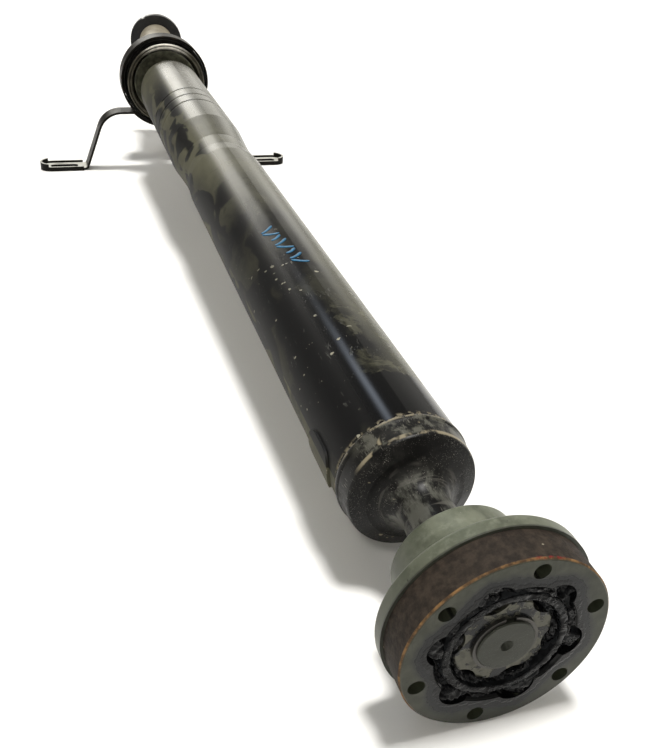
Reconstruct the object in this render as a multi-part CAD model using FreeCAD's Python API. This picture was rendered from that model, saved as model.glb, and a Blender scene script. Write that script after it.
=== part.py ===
import FreeCAD, Part
import math
import os

# A propeller shaft with a ball joint at each end and a rubber-mounted centre bearing.
#
# Lengths are in millimetres and angles in degrees. The origin is the centre of the
# axle-side flange face. +X points out of that face, along the shaft's axis, and the
# shaft lies along -X. +Z points up, away from the bracket's feet. An outline is a list
# of (x, radius) points; angles round the axis run from +Y towards +Z.

# --- Fits -------------------------------------------------------------------------
PRESS_GAP = 0.05
RACEWAY_GAP = 0.1
TRACK_GAP = 0.5

# --- Where things are along the shaft ---------------------------------------------
RACE_WIDTH = 25.0
AXLE_PIVOT_X = -RACE_WIDTH / 2
CAN_FRONT_X = -18.3
CAN_END_X = -56.4
CAP_FRONT_X = -108.5
TUBE_START_X = -124.0
WEIGHT_X = -153.0
WEIGHT_ANGLE = 190.0
WEIGHT_SHEET = 1.5
TUBE_END_X = -1003.0
BEARING_X = -1033.0
GEARBOX_PIVOT_X = -1096.0

# --- Ball joints ------------------------------------------------------------------
BALL_COUNT = 6
BALL_R = 9.0
BALL_CIRCLE_R = 29.5
TRACK_R = BALL_R + TRACK_GAP
WINDOW_R = BALL_R + 0.3
CAGE_OUTER_R = 32.3
CAGE_HALF_WIDTH = 11.5
INNER_RACE_HALF_WIDTH = 9.5
JOINT_BORE_R = 33.0
SPLINE_R = 13.9
STUB_R = 14.6
CIRCLIP_WIDTH = 1.6
CIRCLIP_GROOVE_R = 12.7
CIRCLIP_R = 15.6

# --- Axle-side flange -------------------------------------------------------------
FLANGE_R = 50.0
BOLT_COUNT = 6
BOLT_CIRCLE_R = 43.0
BOLT_HOLE_R = 4.1
FIRST_BOLT_ANGLE = 19.3
FIRST_TRACK_ANGLE = FIRST_BOLT_ANGLE + 180 / BOLT_COUNT

# --- Can and boots ----------------------------------------------------------------
SHEET = 1.6
CAN_RIM_R = FLANGE_R + 0.1 + SHEET
CAN_NECK_R = 32.6
BOOT_WALL = 1.7

# --- Tube -------------------------------------------------------------------------
TUBE_R = 38.0
TUBE_WALL = 2.2
WAIST_R = 36.6
SWAGED_R = 40.4
BEAD_R = TUBE_R + 0.6
TUBE_MOUTH_R = 30.0
GROOVE_XS = (-762.0, -788.0, -815.0)
GROOVE_DEPTH = 0.45
GROOVE_HALF_WIDTH = 3.5

# --- Centre bearing ---------------------------------------------------------------
JOURNAL_R = 17.5
BEARING_HALF_WIDTH = 7.0
BEARING_OUTER_R = 31.0
BEARING_BALL_R = 3.97
BEARING_BALL_CIRCLE_R = 24.25
BEARING_BALL_COUNT = 11
INNER_LAND_R = 21.3
OUTER_LAND_R = 27.2
DRUM_R = 44.7
LIP_R = 52.5
CUSHION_OUTER_R = 57.1
CUSHION_INNER_R = 47.0
CUSHION_HALF_WIDTH = 10.0
RING_R = 60.0
RING_WALL = 2.5
RING_HALF_WIDTH = 13.0

# --- Bracket strap ----------------------------------------------------------------
STRAP_THICKNESS = 3.0
SOLE_Z = -122.3
FOOT_Z = SOLE_Z + STRAP_THICKNESS / 2
SHOULDER_Z = -42.8
SHOULDER_Y = 84.5
SHOULDER_BEND_R = 33.0
ANKLE_Y = 113.8
ANKLE_BEND_R = 6.0
TOE_Y = 177.5
TOE_HEIGHT = 10.0
TOE_LENGTH = 11.0
FOOT_RIM_HEIGHT = 6.0
FOOT_RIM_THICKNESS = 2.5
FOOT_HALF_WIDTH = 16.0
SLOT_Y = 145.0
SLOT_LENGTH = 38.0
SLOT_HALF_WIDTH = 5.5

# --- Gearbox-side joint, as it lies: bent away from the shaft's line ---------------
REST_YAW = -7.0
REST_PITCH = 1.6
BELL_R = 44.0
BELL_FRONT = 18.0
BELL_FLOOR = -24.0
BELL_BACK = -36.0
SLEEVE_R = 26.5
SLEEVE_WALL = 5.0
SLEEVE_END = -180.4
END_FLANGE_R = 41.0
END_FLANGE_THICKNESS = 12.0
END_BOLT_COUNT = 6
END_BOLT_CIRCLE_R = 34.5
END_BOLT_HOLE_R = 4.1
END_BOLT_HOLE_DEPTH = 9.0
NOTCH_ANGLE = 119.0
NOTCH_COUNT = 3
NOTCH_DEPTH = 1.6

ORIGIN = FreeCAD.Vector(0, 0, 0)
X_AXIS = FreeCAD.Vector(1, 0, 0)
Y_AXIS = FreeCAD.Vector(0, 1, 0)
Z_AXIS = FreeCAD.Vector(0, 0, 1)


# --- Shapes that several pieces share ---------------------------------------------
def polar(x, radius, angle=90.0):
    """Point at x, at a radius from the shaft's axis."""
    turn = math.radians(angle)
    return FreeCAD.Vector(x, radius * math.cos(turn), radius * math.sin(turn))


def shifted(outline, x):
    """The same outline, moved along the shaft by x."""
    moved = []
    for step in outline:
        if step[0] == "arc":
            moved.append(("arc", (step[1][0] + x, step[1][1]), (step[2][0] + x, step[2][1])))
        else:
            moved.append((step[0] + x, step[1]))
    return moved


def turned(outline):
    """Solid turned round the axis from a closed outline.

    ("arc", middle, end) draws an arc from the point before it, through middle, to end.
    """
    first = polar(*outline[0])
    here = first
    edges = []
    for step in outline[1:]:
        if step[0] == "arc":
            there = polar(*step[2])
            edges.append(Part.Arc(here, polar(*step[1]), there).toShape())
        else:
            there = polar(*step)
            edges.append(Part.makeLine(here, there))
        here = there
    if not here.isEqual(first, 1e-6):
        edges.append(Part.makeLine(here, first))
    return Part.Face(Part.Wire(edges)).revolve(ORIGIN, X_AXIS, 360)


def rod(x_start, x_end, radius, angle=0.0, offset=0.0):
    """Cylinder along the shaft, on its axis or at an offset from it."""
    low = min(x_start, x_end)
    return Part.makeCylinder(radius, abs(x_end - x_start), polar(low, offset, angle), X_AXIS)


def ring(x_back, x_front, outer_r, inner_r):
    """Plain ring round the axis."""
    return rod(x_back, x_front, outer_r).cut(rod(x_back - 1, x_front + 1, inner_r))


def even_angles(count, first):
    return [first + 360.0 * index / count for index in range(count)]


def balls(centre_x, count, circle_r, ball_r, first_angle):
    """Balls spaced evenly round the axis."""
    return Part.makeCompound([
        Part.makeSphere(ball_r, polar(centre_x, circle_r, angle))
        for angle in even_angles(count, first_angle)
    ])


def straight_tracks(centre_x, half_length):
    """Cutters for straight ball tracks that run along the shaft."""
    return [
        rod(centre_x - half_length, centre_x + half_length, TRACK_R, angle, BALL_CIRCLE_R)
        for angle in even_angles(BALL_COUNT, FIRST_TRACK_ANGLE)
    ]


def curved_tracks(back, front):
    """Cutters for ball tracks that curve round the origin, two tracks to a torus."""
    slab = rod(back, front, BELL_R)
    cutters = []
    for angle in even_angles(BALL_COUNT, FIRST_TRACK_ANGLE)[:BALL_COUNT // 2]:
        across = polar(0, 1, angle + 90)
        torus = Part.makeTorus(BALL_CIRCLE_R, TRACK_R, ORIGIN, across)
        cutters.append(torus.common(slab))
    return cutters


def cage_windows(centre_x):
    """Cutters for the round windows that hold a cage's balls."""
    return [
        Part.makeCylinder(WINDOW_R, CAGE_OUTER_R + 5, polar(centre_x, 0), polar(0, 1, angle))
        for angle in even_angles(BALL_COUNT, FIRST_TRACK_ANGLE)
    ]


def bolt_holes(x_start, x_end, count, circle_r, hole_r, first_angle):
    return [
        rod(x_start, x_end, hole_r, angle, circle_r) for angle in even_angles(count, first_angle)
    ]


def circlip(x_start, inner_r, outer_r):
    """Snap ring with the usual gap, just behind x_start."""
    snap = ring(x_start - CIRCLIP_WIDTH + PRESS_GAP, x_start - PRESS_GAP, outer_r, inner_r + PRESS_GAP)
    gap = Part.makeBox(CIRCLIP_WIDTH * 2, 5, outer_r * 2)
    gap.translate(FreeCAD.Vector(x_start - CIRCLIP_WIDTH * 1.5, -2.5, 0))
    return snap.cut(gap)


def rest_bend(shape):
    """Turn a piece of the gearbox-side flange, built straight at the origin, to where it lies."""
    placed = shape.copy()
    placed.rotate(ORIGIN, Z_AXIS, REST_YAW)
    return rest_pitch(placed)


def rest_pitch(shape):
    """Turn a piece of the gearbox-side ball set to where it lies."""
    placed = shape.copy()
    placed.rotate(ORIGIN, Y_AXIS, REST_PITCH)
    placed.translate(FreeCAD.Vector(GEARBOX_PIVOT_X, 0, 0))
    return placed


# --- Axle-side joint --------------------------------------------------------------
def axle_joint_outer_race():
    outline = [
        (0, JOINT_BORE_R + 1.5), (0, FLANGE_R - 1), (-1, FLANGE_R),
        (1 - RACE_WIDTH, FLANGE_R), (-RACE_WIDTH, FLANGE_R - 1),
        (-RACE_WIDTH, JOINT_BORE_R), (-1.5, JOINT_BORE_R),
    ]
    holes = bolt_holes(-RACE_WIDTH - 1, 1, BOLT_COUNT, BOLT_CIRCLE_R, BOLT_HOLE_R, FIRST_BOLT_ANGLE)
    return turned(outline).cut(straight_tracks(AXLE_PIVOT_X, RACE_WIDTH) + holes)


def axle_joint_can():
    """Pressed cap over the back of the outer race, which also holds the boot."""
    back_x = -RACE_WIDTH - SHEET
    fillet_r = 10.0
    fillet_x = back_x - fillet_r
    fillet_y = CAN_NECK_R + 0.4 + fillet_r
    slant = math.sqrt(0.5)
    inner_r = fillet_r + SHEET
    outline = [
        (CAN_FRONT_X, CAN_RIM_R - SHEET), (CAN_FRONT_X, CAN_RIM_R), (back_x + 2, CAN_RIM_R),
        ("arc", (back_x + 2 - 2 * slant, CAN_RIM_R - 2 + 2 * slant), (back_x, CAN_RIM_R - 2)),
        (back_x, fillet_y),
        ("arc", (fillet_x + fillet_r * slant, fillet_y - fillet_r * slant),
         (fillet_x, fillet_y - fillet_r)),
        (CAN_END_X + 1, CAN_NECK_R), (CAN_END_X, CAN_NECK_R - 0.8),
        (CAN_END_X, CAN_NECK_R - SHEET), (fillet_x, fillet_y - inner_r),
        ("arc", (fillet_x + inner_r * slant, fillet_y - inner_r * slant),
         (fillet_x + inner_r, fillet_y)),
        (back_x + SHEET, CAN_RIM_R - SHEET),
    ]
    holes = bolt_holes(back_x - 1, back_x + 3, BOLT_COUNT, BOLT_CIRCLE_R, BOLT_HOLE_R, FIRST_BOLT_ANGLE)
    return turned(outline).cut(holes)


def axle_joint_cage():
    ball_shell = Part.makeSphere(CAGE_OUTER_R, polar(AXLE_PIVOT_X, 0))
    band = ring(AXLE_PIVOT_X - CAGE_HALF_WIDTH, AXLE_PIVOT_X + CAGE_HALF_WIDTH, CAGE_OUTER_R + 1, 26.3)
    return ball_shell.common(band).cut(cage_windows(AXLE_PIVOT_X))


def axle_joint_balls():
    return balls(AXLE_PIVOT_X, BALL_COUNT, BALL_CIRCLE_R, BALL_R, FIRST_TRACK_ANGLE)


def axle_joint_inner_race():
    front = AXLE_PIVOT_X + INNER_RACE_HALF_WIDTH
    back = AXLE_PIVOT_X - INNER_RACE_HALF_WIDTH
    outline = [
        (front, SPLINE_R + PRESS_GAP), (front, 23), (front - 1, 24), (back + 1, 24),
        (back, 23), (back, SPLINE_R + PRESS_GAP),
    ]
    return turned(outline).cut(straight_tracks(AXLE_PIVOT_X, RACE_WIDTH))


def axle_joint_circlip():
    return circlip(AXLE_PIVOT_X + INNER_RACE_HALF_WIDTH + CIRCLIP_WIDTH, CIRCLIP_GROOVE_R, CIRCLIP_R)


def axle_joint_dished_washer():
    """Spring washer between the inner race and the stub's shoulder."""
    back = AXLE_PIVOT_X - INNER_RACE_HALF_WIDTH
    outline = [
        (back - 0.1, 18.6), (back - 1.2, 18.8), (back - 2.6, SPLINE_R + PRESS_GAP),
        (back - 1.4, SPLINE_R + PRESS_GAP),
    ]
    return turned(outline)


def axle_joint_boot():
    """Rolled rubber diaphragm from the can's neck to the stub."""
    outer_r = CAN_NECK_R - SHEET - 0.05
    bend_x = -44.0
    inner_r = 21.45
    bend_y = (outer_r + inner_r) / 2
    bend_r = (outer_r - inner_r) / 2
    collar_r = STUB_R + PRESS_GAP
    outline = [
        (-55, outer_r), (bend_x, outer_r),
        ("arc", (bend_x + bend_r, bend_y), (bend_x, inner_r)),
        (-49, inner_r), (-50, collar_r), (-61, collar_r),
        (-61, collar_r + BOOT_WALL), (-51.8, collar_r + BOOT_WALL),
        (-51, inner_r + BOOT_WALL), (bend_x, inner_r + BOOT_WALL),
        ("arc", (bend_x + bend_r - BOOT_WALL, bend_y), (bend_x, outer_r - BOOT_WALL)),
        (-55, outer_r - BOOT_WALL),
    ]
    return turned(outline)


def axle_boot_clamp():
    inner_r = STUB_R + BOOT_WALL + 2 * PRESS_GAP
    return ring(-59.5, -53.5, inner_r + 1.1, inner_r)


# --- Shaft ------------------------------------------------------------------------
def axle_end_stub():
    """Forged end of the tube: welded band, dished disc, flared neck and splined stub."""
    groove_front = AXLE_PIVOT_X + INNER_RACE_HALF_WIDTH + CIRCLIP_WIDTH
    groove_back = groove_front - CIRCLIP_WIDTH
    shoulder_x = AXLE_PIVOT_X - INNER_RACE_HALF_WIDTH - 2.7
    end_x = -0.2
    spigot_r = TUBE_R - TUBE_WALL - PRESS_GAP
    outline = [
        (end_x, 0), (end_x, SPLINE_R - 0.5), (end_x - 0.5, SPLINE_R), (groove_front, SPLINE_R),
        (groove_front, CIRCLIP_GROOVE_R), (groove_back, CIRCLIP_GROOVE_R),
        (groove_back, SPLINE_R), (shoulder_x, SPLINE_R), (shoulder_x, STUB_R), (-82, STUB_R),
        ("arc", (-97, 18.6), (-103, 28)),
        (CAP_FRONT_X + 1.6, TUBE_R - 1.9),
        ("arc", (CAP_FRONT_X + 0.7, TUBE_R - 1.4), (CAP_FRONT_X, TUBE_R - 1.2)),
        (TUBE_START_X + 4.4, TUBE_R - 0.2),
        ("arc", (TUBE_START_X + 2, BEAD_R), (TUBE_START_X, TUBE_R)),
        (TUBE_START_X, spigot_r), (TUBE_START_X - 10, spigot_r), (TUBE_START_X - 10, 31),
        (-116, 24), (-112, 0),
    ]
    centre_drill = Part.makeCone(0, 3.2, 4, polar(end_x - 4, 0), X_AXIS)
    return turned(outline).cut(centre_drill)


def main_tube():
    """Welded tube with a waist, a wider swaged stretch with three grooves, and a necked end."""
    outer = [(TUBE_START_X, TUBE_R), (-590, TUBE_R), (-612, WAIST_R), (-640, WAIST_R), (-700, SWAGED_R)]
    for x in GROOVE_XS:
        outer.append((x + GROOVE_HALF_WIDTH, SWAGED_R))
        outer.append(("arc", (x, SWAGED_R - GROOVE_DEPTH), (x - GROOVE_HALF_WIDTH, SWAGED_R)))
    neck = [(-945, SWAGED_R), ("arc", (-976, 37.8), (-997, TUBE_MOUTH_R + 0.8)), (TUBE_END_X, TUBE_MOUTH_R)]
    inner = [
        (TUBE_END_X, TUBE_MOUTH_R - TUBE_WALL), (-997.5, TUBE_MOUTH_R - TUBE_WALL + 0.8),
        ("arc", (-976, 35.4), (-945, SWAGED_R - TUBE_WALL)),
        (-700, SWAGED_R - TUBE_WALL), (-640, WAIST_R - TUBE_WALL), (-612, WAIST_R - TUBE_WALL),
        (-590, TUBE_R - TUBE_WALL), (TUBE_START_X, TUBE_R - TUBE_WALL),
    ]
    return turned(outer + neck + inner)


def balance_weight():
    """Curved plate with rounded corners, welded low on the tube's -Y side."""
    half_length, half_width, corner_r = 18.0, 12.9, 11.0
    plate = ring(WEIGHT_X - half_length - 1, WEIGHT_X + half_length + 1, TUBE_R + WEIGHT_SHEET, TUBE_R + PRESS_GAP)
    corner = FreeCAD.Vector(WEIGHT_X - half_length, -half_width, TUBE_R / 2)
    patch = Part.makeBox(2 * half_length, 2 * half_width, TUBE_R, corner)
    upright = [edge for edge in patch.Edges if edge.BoundBox.ZLength > TUBE_R - 1]
    patch = patch.makeFillet(corner_r, upright)
    patch.rotate(ORIGIN, X_AXIS, WEIGHT_ANGLE - 90)
    return plate.common(patch)


def bearing_end_stub():
    """Stepped journal: tube spigot, shield seat, bearing seat and the far joint's spline."""
    spigot_r = TUBE_MOUTH_R - TUBE_WALL - PRESS_GAP
    bearing_front = BEARING_X + BEARING_HALF_WIDTH
    bearing_back = BEARING_X - BEARING_HALF_WIDTH
    race_front = GEARBOX_PIVOT_X + INNER_RACE_HALF_WIDTH
    race_back = GEARBOX_PIVOT_X - INNER_RACE_HALF_WIDTH
    clip_r = JOURNAL_R - 0.8
    outline = [
        (-988, 0), (-988, 22), (-992, spigot_r), (TUBE_END_X, spigot_r),
        (TUBE_END_X, TUBE_MOUTH_R - 0.5), (TUBE_END_X - 3, TUBE_MOUTH_R - 0.5),
        ("arc", (TUBE_END_X - 6, 25), (TUBE_END_X - 11, 22.5)),
        (bearing_front + 1.5, 22.5), (bearing_front + 1.5, 20.8), (bearing_front, 20.8),
        (bearing_front, JOURNAL_R), (bearing_back, JOURNAL_R), (bearing_back, clip_r),
        (bearing_back - CIRCLIP_WIDTH, clip_r), (bearing_back - CIRCLIP_WIDTH, JOURNAL_R),
        (BEARING_X - RING_HALF_WIDTH, JOURNAL_R), (BEARING_X - RING_HALF_WIDTH, 16.5),
        (BEARING_X - 23, 16.5), (BEARING_X - 24, STUB_R), (race_front, STUB_R),
        (race_front, SPLINE_R), (race_back, SPLINE_R), (race_back, CIRCLIP_GROOVE_R),
        (race_back - CIRCLIP_WIDTH, CIRCLIP_GROOVE_R), (race_back - CIRCLIP_WIDTH, SPLINE_R),
        (race_back - 3, SPLINE_R), (race_back - 4, SPLINE_R - 1), (race_back - 4, 0),
    ]
    return turned(outline)


# --- Centre bearing ---------------------------------------------------------------
def front_dust_shield():
    outline = [
        (10, 22.5 + PRESS_GAP), (10, 26), (19.2, 41.6), (19.2, 43), (20.8, 43), (20.8, 41),
        (12.1, 26), (12.1, 24.1), (17, 24.1), (17, 22.5 + PRESS_GAP),
    ]
    return turned(shifted(outline, BEARING_X))


def rear_dust_shield():
    outline = [
        (-13.1, 16.5 + PRESS_GAP), (-13.1, 38.6), (-10.5, 38.6), (-10.5, 40.2), (-13.7, 40.2),
        (-14.7, 39.2), (-14.7, 18.3), (-20, 18.3), (-20, 16.5 + PRESS_GAP),
    ]
    return turned(shifted(outline, BEARING_X))


def raceway():
    return Part.makeTorus(
        BEARING_BALL_CIRCLE_R, BEARING_BALL_R + RACEWAY_GAP, polar(BEARING_X, 0), X_AXIS)


def bearing_inner_race():
    back = BEARING_X - BEARING_HALF_WIDTH
    front = BEARING_X + BEARING_HALF_WIDTH
    return ring(back + PRESS_GAP, front - PRESS_GAP, INNER_LAND_R, JOURNAL_R + PRESS_GAP).cut(raceway())


def bearing_outer_race():
    back = BEARING_X - BEARING_HALF_WIDTH
    front = BEARING_X + BEARING_HALF_WIDTH
    return ring(back + PRESS_GAP, front - PRESS_GAP, BEARING_OUTER_R, OUTER_LAND_R).cut(raceway())


def bearing_balls():
    return balls(BEARING_X, BEARING_BALL_COUNT, BEARING_BALL_CIRCLE_R, BEARING_BALL_R, 0)


def bearing_cage():
    pockets = [
        Part.makeSphere(BEARING_BALL_R + RACEWAY_GAP, polar(BEARING_X, BEARING_BALL_CIRCLE_R, angle))
        for angle in even_angles(BEARING_BALL_COUNT, 0)
    ]
    return ring(BEARING_X - 4.8, BEARING_X + 4.8, 25.9, 22.6).cut(pockets)


def bearing_seals():
    """The two lip seals, one at each side of the bearing."""
    lip_r = INNER_LAND_R + 0.4
    rim_r = OUTER_LAND_R - PRESS_GAP
    return Part.makeCompound([
        ring(BEARING_X + 5.4, BEARING_X + 6.7, rim_r, lip_r),
        ring(BEARING_X - 6.7, BEARING_X - 5.4, rim_r, lip_r),
    ])


def bearing_circlip():
    return circlip(BEARING_X - BEARING_HALF_WIDTH, JOURNAL_R - 0.8, JOURNAL_R + 2.1)


def bearing_housing():
    """Pressed drum round the bearing, flared at the front to a grooved lip."""
    seat_r = BEARING_OUTER_R + PRESS_GAP
    seat_outer_r = seat_r + 2.5
    drum_inner_r = DRUM_R - 2.2
    outline = [
        (8.6, 29), (8.6, seat_outer_r), (1, seat_outer_r), (1, drum_inner_r), (14, drum_inner_r),
        (23, 45.8), (26, 47), (26, 49.2), (25, 49.8), (26, 50.4), (26, LIP_R - 1),
        ("arc", (25.4, LIP_R - 0.2), (24.6, LIP_R)), (23.6, LIP_R - 0.6), (23.6, 49),
        (20.5, 47.8), (14, DRUM_R), (-9, DRUM_R), (-9, drum_inner_r), (-1, drum_inner_r),
        (-1, seat_outer_r), (-8.6, seat_outer_r), (-8.6, 29), (-7, 29), (-7, seat_r), (7, seat_r),
        (7, 29),
    ]
    return turned(shifted(outline, BEARING_X))


def rubber_cushion():
    """Rubber ring with a rolled groove in each face; its round faces share the bearing's centre."""
    half = CUSHION_HALF_WIDTH
    outer_edge = math.sqrt(CUSHION_OUTER_R ** 2 - half ** 2)
    inner_edge = math.sqrt(CUSHION_INNER_R ** 2 - half ** 2)
    groove_r = 51.5
    groove_half = 2.6
    groove_floor = 2.0
    outline = [
        (half, outer_edge), (half, groove_r + groove_half), (groove_floor + 2, groove_r + groove_half),
        ("arc", (groove_floor, groove_r), (groove_floor + 2, groove_r - groove_half)),
        (half, groove_r - groove_half), (half, inner_edge),
        ("arc", (0, CUSHION_INNER_R), (-half, inner_edge)),
        (-half, groove_r - groove_half), (-groove_floor - 2, groove_r - groove_half),
        ("arc", (-groove_floor, groove_r), (-groove_floor - 2, groove_r + groove_half)),
        (-half, groove_r + groove_half), (-half, outer_edge),
        ("arc", (0, CUSHION_OUTER_R), (half, outer_edge)),
    ]
    return turned(shifted(outline, BEARING_X))


def bracket_ring():
    half = RING_HALF_WIDTH
    outline = [
        (half, RING_R - RING_WALL + 0.5), (half, RING_R - 0.5), (half - 0.5, RING_R),
        (0.5 - half, RING_R), (-half, RING_R - 0.5), (-half, RING_R - RING_WALL + 0.5),
        (0.5 - half, RING_R - RING_WALL), (half - 0.5, RING_R - RING_WALL),
    ]
    return turned(shifted(outline, BEARING_X))


# --- Bracket strap ----------------------------------------------------------------
def rounded_path(corners, radii):
    """Edges along (y, z) corners, each inner corner rounded to its radius."""
    points = [FreeCAD.Vector(0, y, z) for y, z in corners]
    edges = []
    here = points[0]
    for index, radius in enumerate(radii, start=1):
        corner = points[index]
        back = (points[index - 1] - corner).normalize()
        ahead = (points[index + 1] - corner).normalize()
        half_angle = back.getAngle(ahead) / 2
        start = corner + back * (radius / math.tan(half_angle))
        end = corner + ahead * (radius / math.tan(half_angle))
        inward = (back + ahead).normalize()
        middle = corner + inward * (radius / math.sin(half_angle) - radius)
        edges.append(Part.makeLine(here, start))
        edges.append(Part.Arc(start, middle, end).toShape())
        here = end
    edges.append(Part.makeLine(here, points[-1]))
    return edges


def offset_path(corners, radii, side):
    """Corners and radii of the path that runs at a distance to the left of this one."""
    directions = [
        FreeCAD.Vector(0, end[0] - start[0], end[1] - start[1]).normalize()
        for start, end in zip(corners, corners[1:])
    ]
    lefts = [FreeCAD.Vector(0, -way.z, way.y) for way in directions]
    shifts = [lefts[0]]
    new_radii = []
    for index, radius in enumerate(radii):
        before, after = lefts[index], lefts[index + 1]
        shifts.append((before + after) * (1 / (1 + before.dot(after))))
        turns_left = directions[index].cross(directions[index + 1]).x > 0
        new_radii.append(radius - side if turns_left else radius + side)
    shifts.append(lefts[-1])
    moved = [(y + side * step.y, z + side * step.z) for (y, z), step in zip(corners, shifts)]
    return moved, new_radii


def strap_strip():
    """The bent strip: foot, leg, shoulder, cradle under the ring, and the same mirrored."""
    cradle_r = RING_R + STRAP_THICKNESS / 2
    cradle_corner_z = -cradle_r * math.sqrt(2)
    right = [
        (SHOULDER_Z - cradle_corner_z, SHOULDER_Z), (SHOULDER_Y, SHOULDER_Z),
        (ANKLE_Y, FOOT_Z), (TOE_Y - TOE_LENGTH, FOOT_Z),
    ]
    right_radii = [2.2, SHOULDER_BEND_R, ANKLE_BEND_R]
    corners = [(-y, z) for y, z in reversed(right)] + [(0, cradle_corner_z)] + right
    radii = right_radii[::-1] + [cradle_r] + right_radii
    half = STRAP_THICKNESS / 2
    top_corners, top_radii = offset_path(corners, radii, half)
    sole_corners, sole_radii = offset_path(corners, radii, -half)
    top = rounded_path(top_corners, top_radii)
    sole = rounded_path(sole_corners, sole_radii)
    ends = [
        Part.makeLine(FreeCAD.Vector(0, *top_corners[at]), FreeCAD.Vector(0, *sole_corners[at]))
        for at in (0, -1)
    ]
    outline = Part.Wire(Part.__sortEdges__(top + sole + ends))
    strip = Part.Face(outline).extrude(X_AXIS * (2 * RING_HALF_WIDTH))
    strip.translate(FreeCAD.Vector(BEARING_X - RING_HALF_WIDTH, 0, 0))
    return strip


def foot_plan(inset, low_z, high_z):
    """Block in the plan of the right foot: straight at the ankle, round at the toe."""
    half_width = FOOT_HALF_WIDTH - inset
    ankle_y = ANKLE_Y + 5 + inset
    round_y = TOE_Y - FOOT_HALF_WIDTH
    block = Part.makeBox(2 * half_width, round_y - ankle_y, high_z - low_z)
    block.translate(FreeCAD.Vector(BEARING_X - half_width, ankle_y, low_z))
    toe = Part.makeCylinder(half_width, high_z - low_z, FreeCAD.Vector(BEARING_X, round_y, low_z))
    return block.fuse(toe)


def foot_tray(side):
    """Widened foot with a turned-up rim, highest round the toe."""
    pan_z = SOLE_Z + STRAP_THICKNESS
    tray = foot_plan(0, SOLE_Z, SOLE_Z + FOOT_RIM_HEIGHT)
    toe_only = Part.makeBox(2 * FOOT_HALF_WIDTH, TOE_LENGTH, TOE_HEIGHT)
    toe_only.translate(FreeCAD.Vector(BEARING_X - FOOT_HALF_WIDTH, TOE_Y - TOE_LENGTH, SOLE_Z))
    tray = tray.fuse(foot_plan(0, SOLE_Z, SOLE_Z + TOE_HEIGHT).common(toe_only))
    tray = tray.cut(foot_plan(FOOT_RIM_THICKNESS, pan_z, SOLE_Z + TOE_HEIGHT + 1))
    tray = tray.cut(ankle_gap(pan_z))
    return tray if side > 0 else tray.mirror(ORIGIN, Y_AXIS)


def ankle_gap(low_z):
    """Cutter that leaves the rim open at the ankle, where the leg comes down."""
    half_width = FOOT_HALF_WIDTH - FOOT_RIM_THICKNESS
    gap = Part.makeBox(2 * half_width, 2 * FOOT_RIM_THICKNESS + 2, TOE_HEIGHT)
    gap.translate(FreeCAD.Vector(BEARING_X - half_width, ANKLE_Y + 4, low_z))
    return gap


def foot_slot(side):
    """Cutter for the long bolt slot in one foot."""
    straight = SLOT_LENGTH / 2 - SLOT_HALF_WIDTH
    low_z = SOLE_Z - 5
    height = 15.0
    body = Part.makeBox(2 * SLOT_HALF_WIDTH, 2 * straight, height)
    body.translate(FreeCAD.Vector(BEARING_X - SLOT_HALF_WIDTH, side * SLOT_Y - straight, low_z))
    ends = [
        Part.makeCylinder(
            SLOT_HALF_WIDTH, height, FreeCAD.Vector(BEARING_X, side * SLOT_Y + way * straight, low_z))
        for way in (-1, 1)
    ]
    return body.fuse(ends)


def bracket_strap():
    strap = strap_strip().fuse([foot_tray(-1), foot_tray(1)])
    return strap.cut([foot_slot(-1), foot_slot(1)]).removeSplitter()


# --- Gearbox-side joint, built straight at the origin and then bent to its rest ----
def gearbox_joint_inner_race():
    band = ring(-INNER_RACE_HALF_WIDTH, INNER_RACE_HALF_WIDTH, 26, SPLINE_R + PRESS_GAP)
    race = Part.makeSphere(24.3).common(band)
    race = race.cut(curved_tracks(-INNER_RACE_HALF_WIDTH - 2, INNER_RACE_HALF_WIDTH + 2))
    race.translate(FreeCAD.Vector(GEARBOX_PIVOT_X, 0, 0))
    return race


def gearbox_joint_circlip():
    return circlip(GEARBOX_PIVOT_X - INNER_RACE_HALF_WIDTH, CIRCLIP_GROOVE_R, CIRCLIP_R)


def gearbox_joint_cage():
    band = rod(-CAGE_HALF_WIDTH, CAGE_HALF_WIDTH, CAGE_OUTER_R + 1)
    shell = Part.makeSphere(CAGE_OUTER_R).cut(Part.makeSphere(25.0))
    return rest_pitch(shell.common(band).cut(cage_windows(0)))


def gearbox_joint_balls():
    return rest_pitch(balls(0, BALL_COUNT, BALL_CIRCLE_R, BALL_R, FIRST_TRACK_ANGLE))


def gearbox_joint_bell():
    """Outer race of the far joint: a cup with a curved track for each ball."""
    outline = [
        (BELL_FRONT, 0), (BELL_FRONT, BELL_R - 0.8), (BELL_FRONT - 0.8, BELL_R), (-16, BELL_R),
        ("arc", (-26, 40.5), (BELL_BACK + 3, SLEEVE_R + 2)), (BELL_BACK, SLEEVE_R), (BELL_BACK, 0),
    ]
    cavity = Part.makeSphere(JOINT_BORE_R).common(rod(BELL_FLOOR, BELL_FRONT, JOINT_BORE_R + 1))
    mouth = rod(0, BELL_FRONT + 1, JOINT_BORE_R)
    cutters = [cavity, mouth] + curved_tracks(BELL_FLOOR + 1, BELL_FRONT + 5)
    return rest_bend(turned(outline).cut(cutters))


def gearbox_sleeve():
    """Hollow stem between the far joint and its flange."""
    return rest_bend(ring(SLEEVE_END, BELL_BACK, SLEEVE_R, SLEEVE_R - SLEEVE_WALL))


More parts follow.
